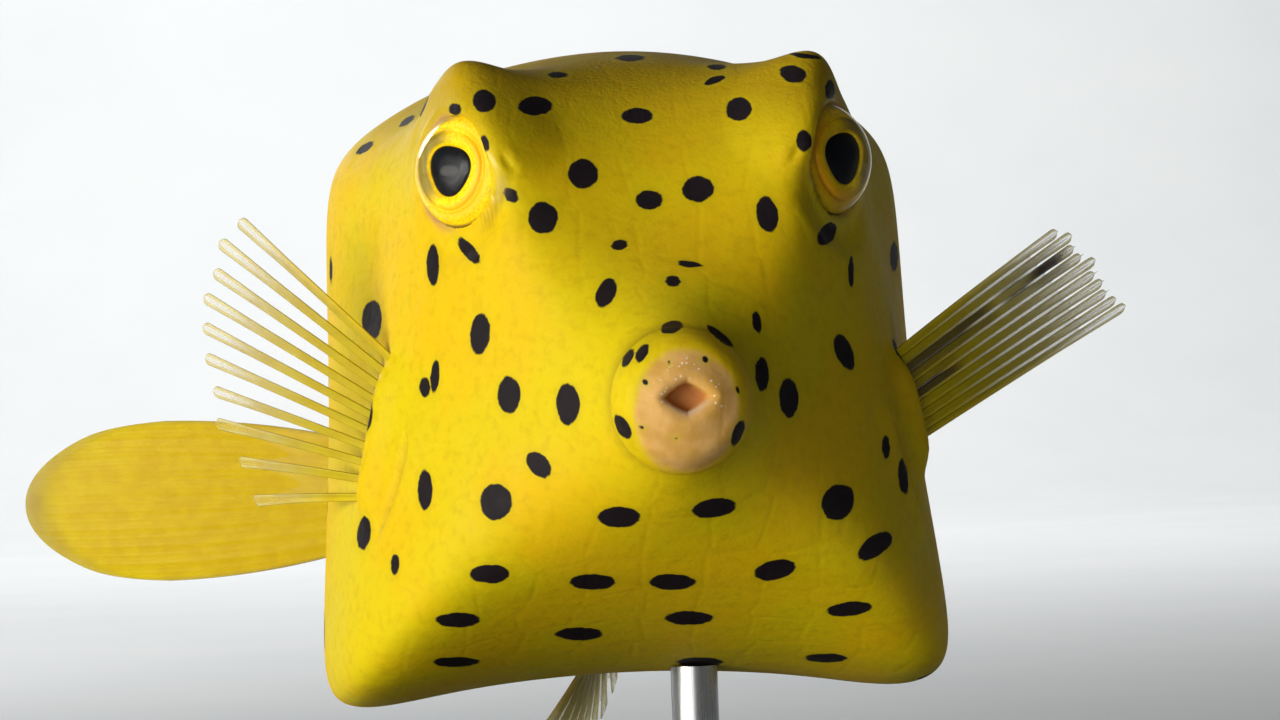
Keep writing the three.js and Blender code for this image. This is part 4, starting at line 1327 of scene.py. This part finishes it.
def iris_material(settings):
    """The globe under the cornea: a blue-black lens in a golden, finely grained iris.

    An orange ring lies round the pupil on its inner side. On the outer side the globe
    turns olive and then fleshy, and its rim where the skin begins has a dark line.
    """
    material, tree, at = new_material("grained_fish_iris_and_lens")
    off_axis, inner, outer = (
        add_node(tree, STORED, output="Fac", attribute_name=name)
        for name in ("off_axis", "inner", "outer")
    )
    grain = add_node(tree, NOISE, {"Vector": at, "Scale": 1 / 0.12, "Detail": 4.0})
    share = add_node(tree, RANGE, {"Value": grain, "From Min": 0.35, "From Max": 0.65}, **SOFT)
    mixed = {0: share, 6: (*settings.iris_gold, 1.0), 7: rgba("E8C800")}
    colour = add_node(tree, MIX, mixed, **COLOURS)
    # Each ring's colour, the side it keeps to, and between which distances off the axis,
    # in mm, it comes in and then goes out again
    rings = (
        ("E0A400", inner, (1.2, 1.5), (2.2, 1.7)),
        ("7C6C18", outer, (0.98, 1.15), (1.75, 1.5)),
        ("96784C", outer, (1.95, 2.15)),
        ("4A3A20", 1.0, (2.24, 2.4)),
    )
    for tint, share, *reaches in rings:
        for start, full in reaches:
            reach = {"Value": off_axis, "From Min": start, "From Max": full}
            reach = add_node(tree, RANGE, reach, **SOFT)
            share = add_node(tree, MATHS, {0: share, 1: reach}, operation="MULTIPLY")
        colour = add_node(tree, MIX, {0: share, 6: colour, 7: rgba(tint)}, **COLOURS)
    lens = {"Value": off_axis, "From Min": PUPIL_RADIUS - 0.02, "From Max": PUPIL_RADIUS + 0.02}
    lens = add_node(tree, RANGE, lens, **SOFT)
    colour = add_node(tree, MIX, {0: lens, 6: rgba("05070E"), 7: colour}, **COLOURS)
    normal = add_node(tree, BUMP, {"Strength": 0.25, "Distance": 0.00005, "Height": grain})
    gloss = {"Value": off_axis, "From Min": 0.9, "From Max": 1.05, "To Min": 0.4, "To Max": 0.5}
    gloss = add_node(tree, RANGE, gloss, **SOFT)
    look = {"Base Color": colour, "Roughness": gloss, "Normal": normal, "IOR": 1.38}
    look |= {"Specular IOR Level": 0.3, "Subsurface Weight": 0.1, "Subsurface Scale": 0.0002}
    look |= {"Subsurface Radius": (1.0, 0.8, 0.1)}
    shader = add_node(tree, PRINCIPLED, look)
    add_node(tree, "ShaderNodeOutputMaterial", {"Surface": shader})
    return material


def cornea_material():
    """Clear wet cornea, smooth as glass, that bends light a little more than water.

    The tint dims its mirror, because in water a cornea hardly reflects what is round it.
    """
    material, tree, at = new_material("clear_wet_cornea")
    film = add_node(tree, NOISE, {"Vector": at, "Scale": 1 / 0.6})
    film = {"Value": film, "From Min": 0.3, "From Max": 0.7, "To Max": 0.03}
    film = add_node(tree, RANGE, film, **SOFT)
    look = {"Base Color": (1, 1, 1, 1), "Roughness": film, "IOR": 1.376}
    look |= {"Transmission Weight": 1.0, "Specular Tint": (0.1, 0.1, 0.1, 1)}
    shader = add_node(tree, PRINCIPLED, look)
    clear = add_node(tree, "ShaderNodeBsdfTransparent")
    shadow = add_node(tree, "ShaderNodeLightPath", output="Is Shadow Ray")
    passed = add_node(tree, "ShaderNodeMixShader", {0: shadow, 1: shader, 2: clear})
    add_node(tree, "ShaderNodeOutputMaterial", {"Surface": passed})
    return material


# Stand


def lathed(profile, middle, columns=160):
    """Points of a turned piece from (radius, height over the floor) rows."""
    turn = np.linspace(0, 2 * math.pi, columns, endpoint=False)
    profile = np.array(profile, float)
    points = np.empty((len(profile), columns, 3))
    points[..., 0] = middle[0] + profile[:, :1] * np.cos(turn)[None]
    points[..., 1] = middle[1] + MOUTH_AHEAD + profile[:, :1] * np.sin(turn)[None]
    points[..., 2] = profile[:, 1:] - MOUTH_HEIGHT
    return points


def rounded(centre, radius, first, last, count=8):
    """Points of an arc between two angles in degrees."""
    (x, y), angles = centre, np.radians(np.linspace(first, last, count))
    return [(x + radius * math.cos(a), y + radius * math.sin(a)) for a in angles]


def build_stand(settings):
    radius, rod_radius = settings.base_radius / MM, settings.rod_radius / MM
    foot = 0.4
    base = [(0.01, 0), (radius - 3, 0), (radius - foot, 0)]
    base += rounded((radius - foot, foot), foot, -80, 0)
    top = BASE_THICKNESS - BASE_BEVEL
    base += rounded((radius - BASE_BEVEL, top), BASE_BEVEL, 0, 90, 12)
    base += [(radius * share, BASE_THICKNESS) for share in (0.93, 0.7, 0.45, 0.2, 0.0005)]
    mesh = Gathered()
    mesh.add(lathed(base, (0, 0)), (0.01, 0.01, 0.99, 0.6))
    high = BASE_THICKNESS + BOSS_HEIGHT
    slim = BOSS_RADIUS * 0.85
    boss = [(BOSS_RADIUS, BASE_THICKNESS - 0.1), (BOSS_RADIUS * 0.99, BASE_THICKNESS + 0.1)]
    boss += rounded((slim + 0.05, high - 0.2), 0.2, 15, 90, 6) + [(rod_radius * 0.9, high)]
    place = (ROD_SIDE, ROD_BACK - MOUTH_AHEAD)
    mesh.add(lathed(boss, place, 96), (0.01, 0.62, 0.99, 0.99))
    finish_piece(mesh.build("stand_base"), acrylic_material(), "stand_base", "stand_base")
    belly = MOUTH_HEIGHT + float(belly_height(ROD_BACK)) - 0.2
    rod = [(rod_radius * 0.9, high - 0.1), (rod_radius, high + 0.2)]
    rod += [(rod_radius, z) for z in np.linspace(high + 0.4, belly, 12)]
    mesh = Gathered()
    mesh.add(lathed(rod, place, 96), WHOLE_MAP)
    finish_piece(mesh.build("stand_rod"), steel_material(), "stand_rod", "stand_rod")


def acrylic_material():
    """Cast black acrylic, polished, with the faint haze that wiping leaves on it."""
    material, tree, at = new_material("polished_cast_acrylic")
    haze = add_node(tree, NOISE, {"Vector": at, "Scale": 1 / 6, "Detail": 5.0})
    colour = add_node(tree, MIX, {0: haze, 6: rgba("141416"), 7: rgba("1E1E21")}, **COLOURS)
    gloss = {"Value": haze, "From Min": 0.35, "From Max": 0.7, "To Min": 0.08, "To Max": 0.18}
    gloss = add_node(tree, RANGE, gloss, **SOFT)
    shader = add_node(tree, PRINCIPLED, {"Base Color": colour, "Roughness": gloss, "IOR": 1.49})
    add_node(tree, "ShaderNodeOutputMaterial", {"Surface": shader})
    return material


def steel_material():
    """Drawn stainless rod, with fine lines along it left by the die."""
    drawn = (1000.0, 1000.0, 30.0)  # its lines are about 33 times as long as they are wide
    material, tree, at = new_material("drawn_stainless_steel", drawn)
    lines = add_node(tree, NOISE, {"Vector": at, "Scale": 1 / 0.08})
    colour = add_node(tree, MIX, {0: lines, 6: rgba("B9BABC"), 7: rgba("CFCFD0")}, **COLOURS)
    gloss = {"Value": lines, "From Min": 0.3, "From Max": 0.7, "To Min": 0.22, "To Max": 0.36}
    gloss = add_node(tree, RANGE, gloss, **SOFT)
    normal = add_node(tree, BUMP, {"Strength": 0.2, "Distance": 0.00001, "Height": lines})
    metal = {"Base Color": colour, "Roughness": gloss, "Normal": normal, "Metallic": 1.0}
    shader = add_node(tree, PRINCIPLED, metal)
    add_node(tree, "ShaderNodeOutputMaterial", {"Surface": shader})
    return material


def paper_material():
    """Matt backdrop paper, with faint cloudy fibres."""
    material, tree, at = new_material("matt_backdrop_paper")
    fibres = add_node(tree, NOISE, {"Vector": at, "Scale": 1 / 30, "Detail": 4.0})
    colour = add_node(tree, MIX, {0: fibres, 6: rgba("DEE1E2"), 7: rgba("E8E9E9")}, **COLOURS)
    matt = {"Base Color": colour, "Roughness": 0.9, "Specular IOR Level": 0.2}
    shader = add_node(tree, PRINCIPLED, matt)
    add_node(tree, "ShaderNodeOutputMaterial", {"Surface": shader})
    return material


class BoxfishSettings(bpy.types.PropertyGroup):
    """The sizes and colours that a user would change."""

    skin_yellow: bpy.props.FloatVectorProperty(
        name="Skin yellow", description="Colour of the skin between the spots",
        subtype="COLOR", default=linear("E4BC00"), min=0, max=1,
    )
    spot_black: bpy.props.FloatVectorProperty(
        name="Spot black", description="Darkest colour of the spots",
        subtype="COLOR", default=linear("120F14"), min=0, max=1,
    )
    lip_flesh: bpy.props.FloatVectorProperty(
        name="Lip flesh", description="Palest colour of the lips",
        subtype="COLOR", default=linear("E0B068"), min=0, max=1,
    )
    iris_gold: bpy.props.FloatVectorProperty(
        name="Iris gold", description="Deepest yellow of the iris",
        subtype="COLOR", default=linear("D8AC00"), min=0, max=1,
    )
    fin_gold: bpy.props.FloatVectorProperty(
        name="Fin gold", description="Colour of the fins near their roots",
        subtype="COLOR", default=linear("D8BC00"), min=0, max=1,
    )
    hidden_spot_spacing: bpy.props.FloatProperty(
        name="Spot spacing",
        description="Least distance between the spots that the photo doesn't show",
        subtype="DISTANCE", unit="LENGTH", default=SPOT_SPACING * MM, min=2 * MM, max=8 * MM,
    )
    base_radius: bpy.props.FloatProperty(
        name="Base radius", description="Radius of the display stand's round base",
        subtype="DISTANCE", unit="LENGTH", default=BASE_RADIUS * MM, min=15 * MM, max=30 * MM,
    )
    rod_radius: bpy.props.FloatProperty(
        name="Rod radius", description="Radius of the display stand's rod",
        subtype="DISTANCE", unit="LENGTH", default=ROD_RADIUS * MM, min=0.5 * MM, max=2 * MM,
    )


class BOXFISH_OT_skin(bpy.types.Operator):
    """Build the skin, with its lips, lids, gill slits and spots"""

    bl_idname = "boxfish.skin"
    bl_label = "Skin"

    def execute(self, context):
        build_skin(context.scene.boxfish)
        return {"FINISHED"}


class BOXFISH_OT_eyes(bpy.types.Operator):
    """Build both eyes, each a globe with its iris under a clear cornea"""

    bl_idname = "boxfish.eyes"
    bl_label = "Eyes"

    def execute(self, context):
        for side, name in ((-1, "right"), (1, "left")):
            build_eye(side, name, context.scene.boxfish)
        return {"FINISHED"}


class BOXFISH_OT_fins(bpy.types.Operator):
    """Build the five fins"""

    bl_idname = "boxfish.fins"
    bl_label = "Fins"

    def execute(self, context):
        settings = context.scene.boxfish
        for name, sizes in RAY_FINS.items():
            build_ray_fin(name, settings, *sizes)
        build_tail_fin(settings)
        return {"FINISHED"}


class BOXFISH_OT_stand(bpy.types.Operator):
    """Build the display stand's base and rod"""

    bl_idname = "boxfish.stand"
    bl_label = "Stand"

    def execute(self, context):
        build_stand(context.scene.boxfish)
        return {"FINISHED"}


class BOXFISH_OT_stage(bpy.types.Operator):
    """Build the floor, the lights and the camera"""

    bl_idname = "boxfish.stage"
    bl_label = "Stage"

    def execute(self, context):
        build_stage(context.scene)
        return {"FINISHED"}


def aim(obj, place, target):
    obj.location = Vector(place) * MM
    way = (Vector(target) - Vector(place)).normalized()
    obj.rotation_mode = "QUATERNION"
    obj.rotation_quaternion = way.to_track_quat("-Z", "Y")


def build_stage(scene):
    profile = [(y, 0.0) for y in np.linspace(-FLOOR_REACH, FLOOR_REACH, 9)]
    profile += [
        (FLOOR_REACH + SWEEP * math.sin(a), SWEEP * (1 - math.cos(a)))
        for a in np.linspace(0.1, math.pi / 2, 16)
    ]
    profile += [(FLOOR_REACH + SWEEP, SWEEP * 2)]
    vertices = [(x * MM, y * MM, z * MM) for y, z in profile for x in (-FLOOR_WIDE, FLOOR_WIDE)]
    faces = [(2 * i, 2 * i + 1, 2 * i + 3, 2 * i + 2) for i in range(len(profile) - 1)]
    floor = new_object("floor", vertices, faces)
    floor.data.materials.append(paper_material())

    # Name, place, the place it points at, size, watts and colour
    lamps = (
        ("key_light", (-246, -166, 46), (-2, 0, 22), (220, 88), 0.86, "FFFBF2"),
        ("fill_light", (-110, -270, 16), (0, 0, 16), (120, 60), 0.1, "FFFFFF"),
        ("top_light", (-60, 10, 260), (0, 0, 25), (160, 160), 0.04, "FFFFFF"),
        ("back_light", (-140, 260, 150), (0, 20, 20), (120, 120), 0.2, "FFFFFF"),
        ("backdrop_light", (0, 420, 420), (0, 800, 40), (500, 300), 2.6, "FFFFFF"),
    )
    for name, place, target, size, power, colour in lamps:
        lamp = bpy.data.lights.new(name, "AREA")
        lamp.shape, lamp.size, lamp.size_y = "ELLIPSE", size[0] * MM, size[1] * MM
        lamp.energy, lamp.color = power, linear(colour)
        obj = bpy.data.objects.new(name, lamp)
        scene.collection.objects.link(obj)
        aim(obj, place, target)
    world = bpy.data.worlds.new("soft_room")
    world.use_nodes = True
    room = world.node_tree.nodes["Background"].inputs
    room["Color"].default_value = rgba("DDE3E8")
    room["Strength"].default_value = ROOM_LIGHT
    scene.world = world

    camera = bpy.data.cameras.new("camera")
    camera.sensor_width = FILM_WIDTH
    camera.lens = FOCAL_PIXELS / PICTURE_WIDTH * FILM_WIDTH
    camera.clip_start, camera.clip_end = 0.01, 5.0
    obj = bpy.data.objects.new("camera", camera)
    scene.collection.objects.link(obj)
    at, right, up, back = camera_axes()
    turn = Matrix((right, up, back)).transposed()
    obj.matrix_world = Matrix.Translation(Vector(placed(at))) @ turn.to_4x4()
    scene.camera = obj
    scene.view_settings.view_transform = "Standard"


class BOXFISH_PT_panel(bpy.types.Panel):
    """Sizes, colours and the steps that build the boxfish"""

    bl_label = "Yellow boxfish"
    bl_idname = "BOXFISH_PT_panel"
    bl_space_type = "VIEW_3D"
    bl_region_type = "UI"
    bl_category = "Boxfish"

    def draw(self, context):
        settings = context.scene.boxfish
        for name in BoxfishSettings.__annotations__:
            self.layout.prop(settings, name)
        for step in STEPS:
            self.layout.operator(step.bl_idname)


STEPS = (
    BOXFISH_OT_skin,
    BOXFISH_OT_eyes,
    BOXFISH_OT_fins,
    BOXFISH_OT_stand,
    BOXFISH_OT_stage,
)
CLASSES = (BoxfishSettings, *STEPS, BOXFISH_PT_panel)


def register():
    for cls in CLASSES:
        bpy.utils.register_class(cls)
    bpy.types.Scene.boxfish = bpy.props.PointerProperty(type=BoxfishSettings)


def unregister():
    del bpy.types.Scene.boxfish
    for cls in reversed(CLASSES):
        bpy.utils.unregister_class(cls)


def main():
    register()
    bpy.ops.boxfish.skin()
    bpy.ops.boxfish.eyes()
    bpy.ops.boxfish.fins()
    bpy.ops.boxfish.stand()
    bpy.ops.boxfish.stage()


if __name__ == "__main__":
    main()
